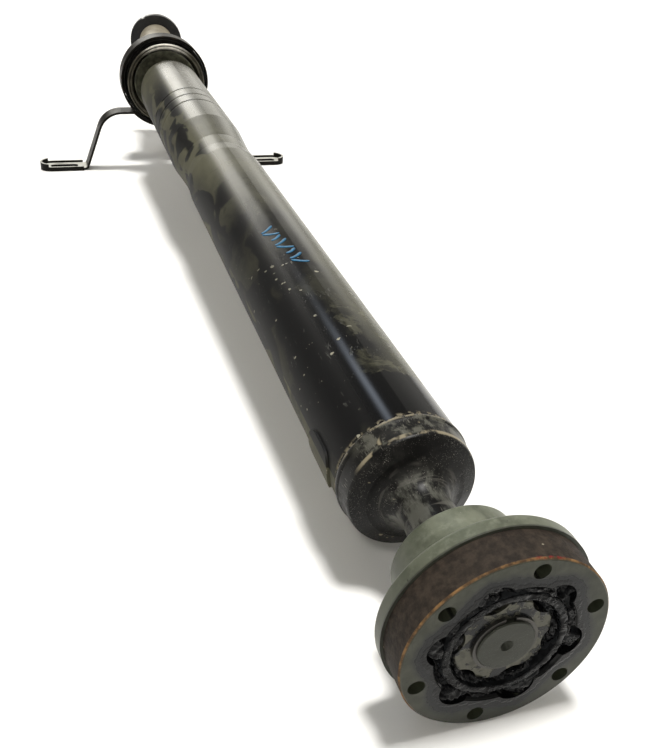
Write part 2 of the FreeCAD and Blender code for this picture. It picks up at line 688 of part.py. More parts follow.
def gearbox_flange():
    """Bolt flange at the stem's end: blind bolt holes, a boss inside the stem, notched edge."""
    face_x = SLEEVE_END - END_FLANGE_THICKNESS
    boss_r = SLEEVE_R - SLEEVE_WALL - PRESS_GAP
    outline = [
        (SLEEVE_END + 6, 0), (SLEEVE_END + 6, boss_r), (SLEEVE_END, boss_r),
        (SLEEVE_END, END_FLANGE_R - 1), (SLEEVE_END - 1, END_FLANGE_R),
        (face_x + 1, END_FLANGE_R), (face_x, END_FLANGE_R - 1), (face_x, 0),
    ]
    holes = bolt_holes(face_x - 1, face_x + END_BOLT_HOLE_DEPTH, END_BOLT_COUNT,
                       END_BOLT_CIRCLE_R, END_BOLT_HOLE_R, NOTCH_ANGLE + 30)
    notch_r = 6.0
    notches = [
        rod(face_x - 1, SLEEVE_END + 1, notch_r, angle, END_FLANGE_R + notch_r - NOTCH_DEPTH)
        for angle in even_angles(NOTCH_COUNT, NOTCH_ANGLE)
    ]
    return rest_bend(turned(outline).cut(holes + notches))


def bent_circle(u, radius, share):
    """Circle wire at u from the far joint's pivot; share 1 follows the flange, 0 the shaft."""
    wire = Part.Wire(Part.makeCircle(radius, FreeCAD.Vector(u, 0, 0), X_AXIS))
    wire.rotate(ORIGIN, Z_AXIS, REST_YAW * share)
    wire.rotate(ORIGIN, Y_AXIS, REST_PITCH * share)
    wire.translate(FreeCAD.Vector(GEARBOX_PIVOT_X, 0, 0))
    return wire


def gearbox_joint_boot():
    """Rubber boot from the bell's outside to the journal, bent with the joint."""
    big_r = BELL_R + PRESS_GAP
    small_r = STUB_R + PRESS_GAP
    inner = [
        (6, big_r, 1), (19, big_r, 1), (23, 36, 0.7), (25, 26, 0.35), (29, small_r, 0),
        (41, small_r, 0),
    ]
    outer = [
        (8, big_r + BOOT_WALL, 1), (20.2, big_r + BOOT_WALL, 1), (25, 37, 0.7),
        (27.4, 27, 0.35), (30.6, small_r + BOOT_WALL, 0), (38, small_r + BOOT_WALL, 0),
    ]
    inside = Part.makeLoft([bent_circle(*station) for station in inner], True, True)
    outside = Part.makeLoft([bent_circle(*station) for station in outer], True, True)
    return outside.cut(inside)


def gearbox_boot_clamp_large():
    inner_r = BELL_R + BOOT_WALL + 2 * PRESS_GAP
    return rest_bend(ring(10, 16, inner_r + 1.1, inner_r))


def gearbox_boot_clamp_small():
    inner_r = STUB_R + BOOT_WALL + 2 * PRESS_GAP
    return ring(GEARBOX_PIVOT_X + 31.5, GEARBOX_PIVOT_X + 36.5, inner_r + 1.1, inner_r)


PIECES = [
    axle_joint_outer_race, axle_joint_can, axle_joint_cage, axle_joint_balls,
    axle_joint_inner_race, axle_joint_circlip, axle_joint_dished_washer, axle_joint_boot,
    axle_boot_clamp, axle_end_stub, main_tube, balance_weight, bearing_end_stub,
    front_dust_shield, rear_dust_shield, bearing_inner_race, bearing_outer_race,
    bearing_balls, bearing_cage, bearing_seals, bearing_circlip, bearing_housing,
    rubber_cushion, bracket_ring, bracket_strap, gearbox_joint_inner_race,
    gearbox_joint_circlip, gearbox_joint_cage, gearbox_joint_balls, gearbox_joint_bell,
    gearbox_joint_boot, gearbox_boot_clamp_large, gearbox_boot_clamp_small,
    gearbox_sleeve, gearbox_flange,
]

os.makedirs("parts", exist_ok=True)
for piece in PIECES:
    piece().exportStep("parts/" + piece.__name__ + ".step")
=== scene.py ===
import math

import bmesh
import bpy
from mathutils import Matrix, Vector, noise


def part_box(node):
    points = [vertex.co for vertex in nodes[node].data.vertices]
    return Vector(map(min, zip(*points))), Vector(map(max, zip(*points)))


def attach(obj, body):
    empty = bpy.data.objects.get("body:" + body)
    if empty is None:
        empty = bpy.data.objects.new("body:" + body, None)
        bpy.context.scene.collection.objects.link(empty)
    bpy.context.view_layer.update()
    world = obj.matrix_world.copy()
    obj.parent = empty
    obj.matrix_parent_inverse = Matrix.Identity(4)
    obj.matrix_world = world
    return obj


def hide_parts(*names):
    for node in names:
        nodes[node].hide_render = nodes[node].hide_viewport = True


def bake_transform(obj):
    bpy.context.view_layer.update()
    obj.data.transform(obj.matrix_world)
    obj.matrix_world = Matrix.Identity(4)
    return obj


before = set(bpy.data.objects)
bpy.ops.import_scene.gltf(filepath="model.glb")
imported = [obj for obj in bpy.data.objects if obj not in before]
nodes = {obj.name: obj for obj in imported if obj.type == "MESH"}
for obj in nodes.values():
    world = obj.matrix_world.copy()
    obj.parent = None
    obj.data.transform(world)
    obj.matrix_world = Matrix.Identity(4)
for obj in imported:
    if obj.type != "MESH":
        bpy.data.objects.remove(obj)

# The looks of a propeller shaft lying on a pale floor. The CAD nodes keep their shapes and get
# worn, greasy and dusty materials. Rubber parts, grease, clamp ears and paint marks are built
# here. Everything is in metres, in the CAD's frame; MM turns millimetres into metres.

MM = 0.001
X_AXIS = Vector((1, 0, 0))

# --- Camera, as solved from the object's own circles ---------------------------------
CAMERA_PLACE = (0.20939, -0.16662, 0.28443)
CAMERA_RIGHT = (0.30399504, 0.95006071, 0.07051004)
CAMERA_UP = (-0.51498722, 0.10161316, 0.85115388)
CAMERA_BACK = (0.80148311, -0.29505833, 0.52015902)
CAMERA_LENS = 40.77

# --- Light ---------------------------------------------------------------------------
# The key is a sun: its tilt from straight down, about X and then Y, and its spread are in degrees.
KEY_STRENGTH = 3.7
KEY_TILT = (-4.0, 3.0)
KEY_SPREAD = 11
KEY_COLOUR = (1.0, 0.985, 0.955)
SKY_COLOUR = (1.0, 0.975, 0.9)
LAMP_COLOUR = (0.86, 0.96, 1.12)
SKY_BASE = 0.26
# Patches of the surroundings, in degrees: azimuth from -X towards +Y (low, high, softness), then
# elevation (low, high, softness), then the strength and the colour that the patch adds.
SKY_PATCHES = [
    # the dark side of the room, left of the shaft's far end
    (-85, -17, 7, -10, 27, 7, -0.29, SKY_COLOUR),
    # a grey wall on the right, brighter low down towards the far end
    (16, 75, 10, 2, 30, 8, 0.5, SKY_COLOUR),
    (8, 30, 6, 1, 15, 4, 1.6, SKY_COLOUR),
    # the open doorway that draws the broad highlight on the far half of the tube
    (-11, 5, 4, 9, 24, 4, 6.5, SKY_COLOUR),
    # the lamp that draws the narrow bluish streak along the tube's near half
    (-6, 2, 4, 36, 43, 4, 12.0, LAMP_COLOUR),
    # two small lamps behind the viewer, for faint glints on the wet grease
    (-165, -160, 2, 18, 22, 2, 50.0, SKY_COLOUR),
    (-150, -142, 2, 46, 52, 2, 60.0, SKY_COLOUR),
]

# --- Places on the object, in millimetres ---------------------------------------------
GEARBOX_PIVOT_X = -1096.0
REST_YAW = -7.0
REST_PITCH = 1.6
FIRST_TRACK_ANGLE = 49.3
TRACK_COUNT = 6
BALL_CIRCLE_R = 29.5
TRACK_R = 9.5
CAGE_FRONT_R = 30.18
CAGE_BORE_R = 26.3
RACE_BORE_R = 33.0
STUB_R = 14.65
TUBE_R = 38.0
BELL_R = 44.05
BEARING_X = -1033.0
BOOT_WALL = 1.7

# --- Places where materials change, in metres -------------------------------------------
CLEAN_BAND = (-0.168, -0.1235)
SMUDGED_SPAN = (-0.255, -0.135)
WIPED_SPAN = (-0.88, -0.2)
TUBE_NECK_STEP = (-0.742, -0.7445)
TUBE_RIM_RUST = (-0.1275, -0.1248)
CAP_BAND = (-0.1225, -0.1095)
STUB_TIP = (-0.006, -0.0045)
CAN_FOLD = (-0.0285, -0.0192)
FLANGE_FACE = (-0.0007, -0.0003)
FLANGE_EDGE = (0.0484, 0.0489)
BORE_SIDE = (0.0392, 0.0388)
BOLT_HOLES_FROM = (0.0389, 0.0392)
BOLT_HOLES_TO = (0.0474, 0.0471)
STAIN_REACH = 0.042
DRUM_GROOVE = (0.0492, 0.0503)
FOOT_TOP = (-0.104, -0.112)

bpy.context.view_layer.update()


# === Node trees ========================================================================
class Graph:
    """Shorthand for building one material's nodes."""

    def __init__(self, name):
        self.material = bpy.data.materials.new(name)
        self.material.use_nodes = True
        self.tree = self.material.node_tree
        self.shader = self.tree.nodes["Principled BSDF"]
        self.place = self.add("ShaderNodeTexCoord").outputs["Object"]
        parts = self.add("ShaderNodeSeparateXYZ")
        self.feed(parts.inputs[0], self.place)
        self.x, self.y, self.z = parts.outputs

    def add(self, kind, **settings):
        node = self.tree.nodes.new(kind)
        for key, value in settings.items():
            setattr(node, key, value)
        return node

    def feed(self, socket, value):
        """Link a socket, or set it when the value is plain."""
        if isinstance(value, bpy.types.NodeSocket):
            self.tree.links.new(value, socket)
        elif isinstance(value, tuple) and len(value) == 3 and socket.type == "RGBA":
            socket.default_value = (*value, 1)
        else:
            socket.default_value = value

    def calc(self, operation, a, b=0.0, clamp=False):
        node = self.add("ShaderNodeMath", operation=operation, use_clamp=clamp)
        self.feed(node.inputs[0], a)
        self.feed(node.inputs[1], b)
        return node.outputs[0]

    def times(self, *values):
        product = values[0]
        for value in values[1:]:
            product = self.calc("MULTIPLY", product, value)
        return product

    def either(self, a, b):
        return self.calc("MAXIMUM", a, b)

    def without(self, a, b):
        """a where b isn't."""
        return self.calc("MULTIPLY", a, self.calc("SUBTRACT", 1.0, b))

    def step(self, value, low, high):
        """0 below low, 1 above high, smooth between; low above high turns it round."""
        node = self.add("ShaderNodeMapRange", interpolation_type="SMOOTHSTEP")
        self.feed(node.inputs["Value"], value)
        if low > high:
            low, high = high, low
            node.inputs["To Min"].default_value = 1
            node.inputs["To Max"].default_value = 0
        node.inputs["From Min"].default_value = low
        node.inputs["From Max"].default_value = high
        return node.outputs[0]

    def span(self, value, low, high, soft):
        """1 between low and high, with soft edges."""
        rise = self.step(value, low - soft, low + soft)
        return self.times(rise, self.step(value, high + soft, high - soft))

    def stretched(self, scale, turn=(0, 0, 0)):
        node = self.add("ShaderNodeMapping")
        self.feed(node.inputs["Vector"], self.place)
        node.inputs["Rotation"].default_value = [math.radians(angle) for angle in turn]
        node.inputs["Scale"].default_value = scale
        return node.outputs[0]

    def noise(self, size, detail=4, rough=0.55, stretch=None, warp=0.0, turn=(0, 0, 0), seed=0.0):
        """Cloudy pattern with features of about that size, in millimetres."""
        node = self.add("ShaderNodeTexNoise", noise_dimensions="4D")
        place = self.stretched(stretch, turn) if stretch else self.place
        self.feed(node.inputs["Vector"], place)
        node.inputs["W"].default_value = seed
        node.inputs["Scale"].default_value = 1 / (size * MM)
        node.inputs["Detail"].default_value = detail
        node.inputs["Roughness"].default_value = rough
        node.inputs["Distortion"].default_value = warp
        return node.outputs["Fac"]

    def blotches(self, low, high, *pattern, **settings):
        """Noise turned into patches: 0 where it is under low, 1 over high."""
        return self.step(self.noise(*pattern, **settings), low, high)

    def cells(self, size, wobble=0.4, seed=0.0):
        """Distance from the nearest of scattered points, 0 at each point; wobble roughens the outlines."""
        push = self.add("ShaderNodeTexNoise", noise_dimensions="4D")
        self.feed(push.inputs["Vector"], self.place)
        push.inputs["W"].default_value = seed + 20
        push.inputs["Scale"].default_value = 2.2 / (size * MM)
        offset = self.add("ShaderNodeVectorMath", operation="MULTIPLY_ADD")
        self.feed(offset.inputs[0], push.outputs["Color"])
        offset.inputs[1].default_value = [size * wobble * MM] * 3
        self.feed(offset.inputs[2], self.place)
        node = self.add("ShaderNodeTexVoronoi", voronoi_dimensions="4D")
        self.feed(node.inputs["Vector"], offset.outputs[0])
        node.inputs["W"].default_value = seed
        node.inputs["Scale"].default_value = 1 / (size * MM)
        return node.outputs["Distance"]

    def blend(self, under, over, share):
        """Colour: over laid on under, as far as share."""
        node = self.add("ShaderNodeMix", data_type="RGBA")
        self.feed(node.inputs["Factor"], share)
        self.feed(node.inputs["A"], under)
        self.feed(node.inputs["B"], over)
        return node.outputs["Result"]

    def between(self, low, high, share):
        """Number from low to high, as far as share."""
        node = self.add("ShaderNodeMix", data_type="FLOAT")
        self.feed(node.inputs["Factor"], share)
        self.feed(node.inputs["A"], low)
        self.feed(node.inputs["B"], high)
        return node.outputs["Result"]

    def radius(self):
        """Distance from the shaft's axis."""
        return self.calc("SQRT", self.calc("ADD", self.times(self.y, self.y), self.times(self.z, self.z)))

    def angle(self):
        """Angle round the shaft's axis in radians, from +Y towards +Z, between -pi and pi."""
        return self.calc("ARCTAN2", self.z, self.y)

    def bump(self, height, depth, strength=1.0, under=None):
        """Normal from a 0-1 height and its depth in millimetres."""
        node = self.add("ShaderNodeBump")
        node.inputs["Strength"].default_value = strength
        node.inputs["Distance"].default_value = depth * MM
        self.feed(node.inputs["Height"], height)
        if under is not None:
            self.feed(node.inputs["Normal"], under)
        return node.outputs["Normal"]

    def finish(self, colour, roughness, metallic=0.0, normal=None, ior=1.3):
        self.feed(self.shader.inputs["Base Color"], colour)
        self.feed(self.shader.inputs["Roughness"], roughness)
        self.feed(self.shader.inputs["Metallic"], metallic)
        if normal is not None:
            self.feed(self.shader.inputs["Normal"], normal)
        self.shader.inputs["IOR"].default_value = ior
        return self.material


def chips(g, size, amount, seed):
    """Small sharp-edged flakes; amount is the share of the cells that have one."""
    flake = g.step(g.cells(size, 0.5, seed), 0.27, 0.2)
    chosen = g.step(g.noise(size * 2.5, 2, 0.5, seed=seed + 3), 1 - amount, 1.02 - amount)
    return g.times(flake, chosen)


def scratches(g, seed, turn, length=14.0, width=0.5):
    """Short thin lines along one direction, in patches."""
    lines = g.noise(width, 0, 0.5, (width / length, 1, 1), 0.15, turn, seed)
    patch = g.blotches(0.48, 0.6, 13, 2, 0.5, seed=seed + 7)
    return g.times(g.step(lines, 0.7, 0.76), patch)


# === Materials =========================================================================
TAN = (0.25, 0.215, 0.145)
# colour of the tube's dusty film, which also carries its painted sheen
DUST_AND_SHEEN = (0.12, 0.116, 0.076)
BLACK_PAINT = (0.0042, 0.0042, 0.0044)


def tube_paint():
    """Glossy black paint under a dusty film, wiped in places, with a clean band near the end."""
    g = Graph("tube_paint")
    angle = g.angle()
    band_edge = g.calc("ADD", g.x, g.times(g.calc("SUBTRACT", g.noise(8, 4, 0.6), 0.5), 0.014))
    clean = g.times(g.span(band_edge, *CLEAN_BAND, 0.0008), g.span(angle, -1.4, 2.2, 0.14))
    near = g.step(g.x, -0.42, -0.26)
    far = g.step(g.x, -0.33, -0.62)
    # On the near half the film is thick on the right, with a trace along the lower left: partly dust, partly
    # painted sheen standing in for the reflections of the bright wall on the right and of the floor at the
    # lower left.
    right = g.step(angle, 1.5, 0.9)
    low_left_sheen = g.either(g.step(angle, 2.6, 3.05), g.step(angle, -2.4, -3.0))
    side_film_and_sheen = g.times(g.calc("SUBTRACT", 1.0, far), g.either(g.times(right, 0.5), g.times(low_left_sheen, 0.04)))
    film = g.calc("ADD", g.between(0.03, 0.5, far), side_film_and_sheen)
    cloudy = g.blotches(0.3, 0.7, 45, 5, 0.6, (0.6, 1, 1), 0.5, seed=5)
    film = g.calc("ADD", film, g.times(g.calc("SUBTRACT", cloudy, 0.5), 0.35), True)
    left = g.either(g.step(angle, 1.95, 2.3), g.step(angle, -2.5, -2.8))
    wipes = g.noise(30, 2, 0.45, (0.5, 1, 1), 1.1, (0, 0, 38), 2)
    wiped = g.times(g.step(wipes, 0.46, 0.52), left, g.span(g.x, *WIPED_SPAN, 0.05))
    late_step = g.times(g.step(g.x, *TUBE_NECK_STEP), g.span(angle, -0.6, 1.05, 0.02))
    film = g.calc("ADD", film, g.times(late_step, 0.2))
    smudge = g.blotches(0.47, 0.6, 15, 5, 0.68, (1, 1, 1), 0.6, seed=9)
    smudge = g.times(smudge, g.span(g.x, *SMUDGED_SPAN, 0.02), g.step(angle, 1.95, 1.6))
    film = g.calc("ADD", film, g.times(smudge, 0.3))
    film = g.without(g.calc("MULTIPLY", film, g.between(1.0, 0.03, wiped), True), clean)
    grit = g.times(chips(g, 6.0, 0.46, 1), g.blotches(0.42, 0.5, 40, 2, seed=4), near)
    specks = g.times(chips(g, 3.0, 0.42, 14), g.blotches(0.52, 0.6, 25, 2, seed=15), near)
    grit = g.without(g.either(grit, specks), clean)
    fine = g.times(g.blotches(0.66, 0.72, 1.1, 2, 0.5, seed=8), g.blotches(0.45, 0.65, 22, 3, seed=16))
    scuffs = g.noise(3.2, 3, 0.5, (0.25, 1, 1), 1.5, (0, 0, 75), 6)
    scuffs = g.times(g.step(scuffs, 0.6, 0.68), g.blotches(0.5, 0.62, 18, 2, seed=17), g.either(near, 0.3))
    scuffs = g.without(g.either(scuffs, g.times(fine, 0.7)), clean)
    rust = g.times(g.step(g.x, *TUBE_RIM_RUST), g.blotches(0.5, 0.6, 5, 4, 0.65, seed=11))
    # The far end is paler except on its upper left: dust, with a painted sheen where the broad highlight
    # falls.
    far_film_and_sheen = g.times(g.step(g.x, -0.66, -0.8), g.step(angle, 2.3, 1.5))
    colour = g.blend(BLACK_PAINT, g.blend(DUST_AND_SHEEN, (0.165, 0.16, 0.135), far_film_and_sheen), film)
    colour = g.blend(colour, (0.1, 0.1, 0.09), g.times(scuffs, 0.4))
    colour = g.blend(colour, (0.3, 0.285, 0.22), g.times(grit, 0.85))
    colour = g.blend(colour, TAN, g.times(rust, 0.6))
    streaks = g.noise(9, 3, 0.5, (0.04, 1, 1), seed=12)
    rough = g.calc("ADD", g.between(0.13, 0.3, film), g.times(streaks, 0.08))
    rough = g.calc("ADD", rough, g.times(left, 0.4))
    rough = g.calc("ADD", rough, g.times(g.either(grit, rust), 0.35), True)
    wavy = g.bump(g.noise(38, 2, 0.4, (0.4, 1, 1), seed=13), 0.35)
    normal = g.bump(g.either(g.times(scuffs, 0.3), grit), 0.1, 1.0, wavy)
    return g.finish(colour, rough, 0.0, normal, 1.2)


def stub_paint():
    """Black-painted forging: scratched disc with tan chips, worn grey on its neck, bare at its end."""
    g = Graph("stub_paint")
    radius = g.radius()
    angle = g.angle()
    dusty = g.blotches(0.46, 0.7, 12, 5, 0.65, seed=1)
    flakes = g.either(chips(g, 13, 0.48, 4), g.times(chips(g, 5.0, 0.44, 6), 0.8))
    lines = g.either(scratches(g, 4, (0, 50, 0), 9, 0.5), scratches(g, 9, (70, 0, 40), 8, 0.45))
    lines = g.either(lines, scratches(g, 21, (20, 0, 95), 12, 0.55))
    scuffs = g.blotches(0.6, 0.68, 2.2, 4, 0.65, (1, 1, 1), 1.2, seed=15)
    scuffs = g.times(scuffs, g.blotches(0.46, 0.6, 13, 2, seed=16))
    speckle = g.blotches(0.62, 0.7, 1.3, 3, 0.6, seed=5)
    # Painted highlight: tan along the top of the cap's front rim, where the light catches the edge.
    rim = g.times(g.span(radius, 0.0366, 0.0376, 0.0003), g.span(g.x, -0.1105, -0.108, 0.0004))
    rim = g.times(rim, g.blotches(0.44, 0.52, 12, 3, 0.6, seed=7), g.span(angle, 0.3, 2.6, 0.15))
    weld = g.times(g.step(g.x, -0.1212, -0.1225), g.blotches(0.46, 0.56, 5, 4, 0.65, seed=8))
    weld = g.times(weld, g.span(angle, 0.1, 2.7, 0.2))
    band = g.blotches(0.45, 0.58, 8, 5, 0.65, (1, 1, 1), 0.6, seed=3)
    band = g.times(g.span(g.x, *CAP_BAND, 0.001), band)
    # The cap's band is paler along its top.
    band_paler_on_top = g.times(band, g.step(angle, 2.7, 2.2), g.step(angle, 0.2, 0.6))
    neck = g.times(g.step(radius, 0.0225, 0.0165), g.blotches(0.44, 0.62, 6, 4, 0.6, (0.35, 1, 1), seed=9))
    rings = g.noise(2.6, 2, 0.5, (1, 0.12, 0.12), 0.6, seed=10)
    fan = g.times(g.step(radius, 0.03, 0.018), g.step(rings, 0.54, 0.64))
    end = g.times(g.step(g.x, *STUB_TIP), g.step(radius, 0.0149, 0.0146))
    colour = g.blend((0.0036, 0.0035, 0.0033), (0.02, 0.019, 0.0165), g.times(dusty, 0.5))
    marks = g.either(g.either(lines, g.times(scuffs, 0.6)), g.times(fan, 0.4))
    colour = g.blend(colour, (0.2, 0.19, 0.165), g.times(marks, 0.6))
    colour = g.blend(colour, (0.11, 0.1, 0.08), g.times(speckle, 0.14))
    colour = g.blend(colour, (0.1, 0.1, 0.085), g.times(neck, 0.85))
    colour = g.blend(colour, (0.1, 0.098, 0.08), g.times(band_paler_on_top, 0.75))
    tan = g.either(g.times(flakes, 0.8), g.either(g.times(rim, 0.8), g.times(weld, 0.75)))
    colour = g.blend(colour, TAN, g.without(tan, end))
    smeared = g.noise(5, 4, 0.6, (1, 0.4, 1), 0.6, seed=13)
    end_colour = g.blend((0.024, 0.025, 0.02), (0.045, 0.047, 0.038), smeared)
    colour = g.blend(colour, end_colour, end)
    rough = g.calc("ADD", 0.36, g.times(g.either(dusty, flakes), 0.25), True)
    rough = g.between(rough, 0.34, end)
    dented = g.bump(g.noise(11, 3, 0.5, seed=12), 0.3)
    normal = g.bump(g.either(marks, flakes), 0.12, 0.8, dented)
    return g.finish(colour, rough, g.either(g.times(neck, 0.25), g.times(end, 0.3)), normal, 1.24)


def can_plating():
    """Zinc plating gone dull and greenish, brightest where it has been rubbed."""
    g = Graph("can_plating")
    cloud = g.noise(14, 5, 0.6, seed=1)
    bloom = g.blotches(0.46, 0.72, 5, 5, 0.65, seed=2)
    drawn = g.noise(2.2, 3, 0.5, (1, 0.15, 0.15), seed=3)
    dark = g.blotches(0.5, 0.7, 18, 4, 0.6, (1, 1, 1), 0.8, seed=4)
    # Painted shade: the can darkens on its left and right sides, where it turns away from the light.
    shaded_sides = g.either(g.step(g.angle(), 2.0, 2.8), g.step(g.angle(), 1.0, 0.2))
    grime = g.span(g.x, *CAN_FOLD, 0.001)
    # Painted shade: a near-black line along the can's rim, in the gap beside the race.
    edge = g.span(g.x, -0.0192, -0.018, 0.0004)
    colour = g.blend((0.085, 0.093, 0.066), (0.155, 0.165, 0.122), g.step(cloud, 0.35, 0.7))
    colour = g.blend(colour, (0.25, 0.265, 0.205), g.times(bloom, 0.4))
    colour = g.blend(colour, (0.045, 0.048, 0.036), g.either(g.times(dark, 0.55), g.times(shaded_sides, 0.6)))
    colour = g.blend(colour, (0.028, 0.028, 0.024), g.times(chips(g, 3.2, 0.36, 5), 0.75))
    colour = g.blend(colour, (0.4, 0.4, 0.33), g.times(chips(g, 2.4, 0.34, 8), 0.5))
    grimy = g.times(grime, g.step(cloud, 0.5, 0.7), 0.3)
    colour = g.blend(colour, (0.02, 0.02, 0.018), g.either(g.times(edge, 0.7), grimy))
    rough = g.calc("ADD", g.between(0.36, 0.52, bloom), g.times(drawn, 0.08))
    normal = g.bump(g.calc("ADD", g.times(drawn, 0.5), g.times(bloom, 0.5)), 0.06)
    return g.finish(colour, rough, 0.2, normal)


def flange_steel():
    """The axle joint's outer race: rusted edge, satin face with a grease stain, wet tracks."""
    g = Graph("flange_steel")
    radius = g.radius()
    angle = g.angle()
    face = g.step(g.x, *FLANGE_FACE)
    outside = g.without(g.step(radius, *FLANGE_EDGE), face)
    chamfer = g.times(g.span(g.x, -0.0013, -0.0004, 0.0003), g.step(radius, 0.0485, 0.049))
    # The stain reaches out past each ball track and stops short of the bolt holes.
    from_track = g.calc("SUBTRACT", angle, math.radians(FIRST_TRACK_ANGLE))
    lobes = g.calc("COSINE", g.times(from_track, float(TRACK_COUNT)))
    reach = g.calc("ADD", STAIN_REACH, g.times(lobes, 0.0024))
    reach = g.calc("ADD", reach, g.times(g.calc("SUBTRACT", g.noise(9, 3, 0.6, seed=1), 0.5), 0.007))
    depth = g.calc("SUBTRACT", reach, radius)
    film = g.times(g.step(depth, -0.004, 0.001), face)
    stain = g.times(g.step(depth, -0.0018, 0.002), face)
    wet = g.times(g.step(g.calc("ADD", depth, g.times(g.noise(5, 3, seed=2), 0.006)), 0.0062, 0.0078), face)
    smear = g.times(g.blotches(0.5, 0.66, 7, 4, 0.6, (1, 1, 0.35), 1.0, (25, 0, 0), 3), face)
    inner = g.without(g.step(radius, *BORE_SIDE), face)
    holes = g.without(g.times(g.step(radius, *BOLT_HOLES_FROM), g.step(radius, *BOLT_HOLES_TO)), face)
    plain = g.blend((0.037, 0.039, 0.029), (0.061, 0.062, 0.048), g.blotches(0.35, 0.7, 8, 5, 0.6, seed=4))
    # Smeared grime, and painted shade that darkens the face towards its bottom.
    grimy = g.either(g.times(smear, 0.4), g.times(g.step(g.z, -0.01, -0.045), 0.6))
    plain = g.blend(plain, (0.022, 0.024, 0.019), grimy)
    colour = g.blend(plain, (0.03, 0.032, 0.03), g.times(film, 0.5))
    colour = g.blend(colour, (0.0085, 0.0092, 0.0105), g.times(stain, 0.92))
    colour = g.blend(colour, (0.0035, 0.0036, 0.004), g.either(wet, inner))
    colour = g.blend(colour, (0.05, 0.055, 0.036), holes)
    brown = g.blend((0.015, 0.0112, 0.0085), (0.04, 0.03, 0.022), g.blotches(0.35, 0.7, 4, 5, 0.65, seed=5))
    flecks = g.times(chips(g, 2.4, 0.4, 7), g.blotches(0.5, 0.6, 17, 2, seed=12))
    brown = g.blend(brown, (0.3, 0.27, 0.2), g.times(flecks, 0.8))
    colour = g.blend(colour, brown, outside)
    orange = g.blend((0.06, 0.035, 0.018), (0.2, 0.11, 0.045), g.blotches(0.42, 0.6, 6, 4, 0.6, seed=6))
    colour = g.blend(colour, orange, g.times(chamfer, g.blotches(0.36, 0.5, 12, 3, 0.5, seed=8)))
    red = g.times(g.span(g.x, -0.0018, -0.0006, 0.0004), g.step(radius, 0.0485, 0.049))
    red = g.times(red, g.span(angle, 1.2, 1.5, 0.08))
    colour = g.blend(colour, (0.13, 0.012, 0.012), g.times(red, g.blotches(0.42, 0.52, 5, 3, seed=9)))
    rough = g.between(0.36, 0.24, stain)
    rough = g.between(rough, 0.07, g.either(wet, inner))
    rough = g.between(rough, 0.75, g.either(outside, chamfer))
    not_bare = g.either(g.either(outside, inner), g.either(wet, chamfer))
    metallic = g.without(g.between(0.35, 0.05, stain), not_bare)
    turned = g.noise(0.5, 2, 0.5, (1, 1, 1), seed=10)
    pits = g.noise(1.6, 4, 0.6, seed=11)
    lumps = g.noise(2.6, 4, 0.6, (1, 1, 1), 0.8, seed=13)
    height = g.calc("ADD", g.times(turned, 0.04), g.times(pits, g.either(outside, 0.08)))
    height = g.calc("ADD", height, g.times(lumps, g.either(g.times(wet, 0.9), g.times(stain, 0.15))))
    return g.finish(colour, rough, metallic, g.bump(height, 0.3), 1.25)


def race_steel():
    """Ground steel of the inner races, half under grease."""
    g = Graph("race_steel")
    greasy = g.blotches(0.46, 0.58, 7, 4, 0.6, (1, 1, 1), 0.7, seed=1)
    greasy = g.either(greasy, g.step(g.radius(), 0.0232, 0.0238))
    worn = g.noise(1.2, 4, 0.6, (1, 1, 0.2), seed=2)
    colour = g.blend((0.05, 0.05, 0.038), (0.1, 0.097, 0.077), worn)
    colour = g.blend(colour, (0.035, 0.034, 0.028), g.times(g.blotches(0.5, 0.65, 4, 4, seed=3), 0.7))
    colour = g.blend(colour, (0.0085, 0.009, 0.0098), greasy)
    rough = g.between(0.33, 0.2, greasy)
    normal = g.bump(g.calc("ADD", g.times(worn, 0.4), greasy), 0.12)
    return g.finish(colour, rough, g.between(0.6, 0.05, greasy), normal, 1.25)


def cage_steel():
    """Blued cage with a smooth film of grey grease."""
    g = Graph("cage_steel")
    film = g.blotches(0.38, 0.66, 9, 4, 0.55, seed=1)
    streaks = g.noise(2.5, 3, 0.5, (1, 1, 0.3), 0.6, (40, 0, 0), 2)
    colour = g.blend((0.0085, 0.009, 0.0098), (0.024, 0.0255, 0.028), film)
    rough = g.calc("ADD", g.between(0.14, 0.3, film), g.times(streaks, 0.08))
    return g.finish(colour, rough, 0.05, g.bump(g.calc("ADD", film, streaks), 0.15), 1.25)


def greased_ball():
    """Hardened ball under a skin of dark grease."""
    g = Graph("greased_ball")
    skin = g.noise(3, 4, 0.6, (1, 1, 1), 0.7, seed=1)
    colour = g.blend((0.006, 0.0062, 0.0068), (0.03, 0.031, 0.033), g.step(skin, 0.4, 0.75))
    return g.finish(colour, g.between(0.08, 0.22, skin), 0.1, g.bump(skin, 0.12), 1.25)


def grease():
    """Black grease, wet and lumpy."""
    g = Graph("grease")
    smooth = g.noise(5, 4, 0.6, seed=1)
    strings = g.blotches(0.44, 0.58, 6, 2, 0.5, seed=4)
    ripples = g.times(g.noise(1.5, 2, 0.5, (1, 1, 1), 1.2, seed=2), strings)
    dull = g.blotches(0.5, 0.64, 11, 3, 0.5, seed=3)
    colour = g.blend((0.0015, 0.0015, 0.0018), (0.005, 0.0053, 0.0062), g.step(smooth, 0.4, 0.7))
    colour = g.blend(colour, (0.016, 0.0172, 0.0184), g.times(dull, 0.5))
    rough = g.between(g.between(0.04, 0.09, g.step(smooth, 0.35, 0.75)), 0.2, dull)
    return g.finish(colour, rough, 0.0, g.bump(g.calc("ADD", g.times(smooth, 0.4), ripples), 0.8), 1.2)


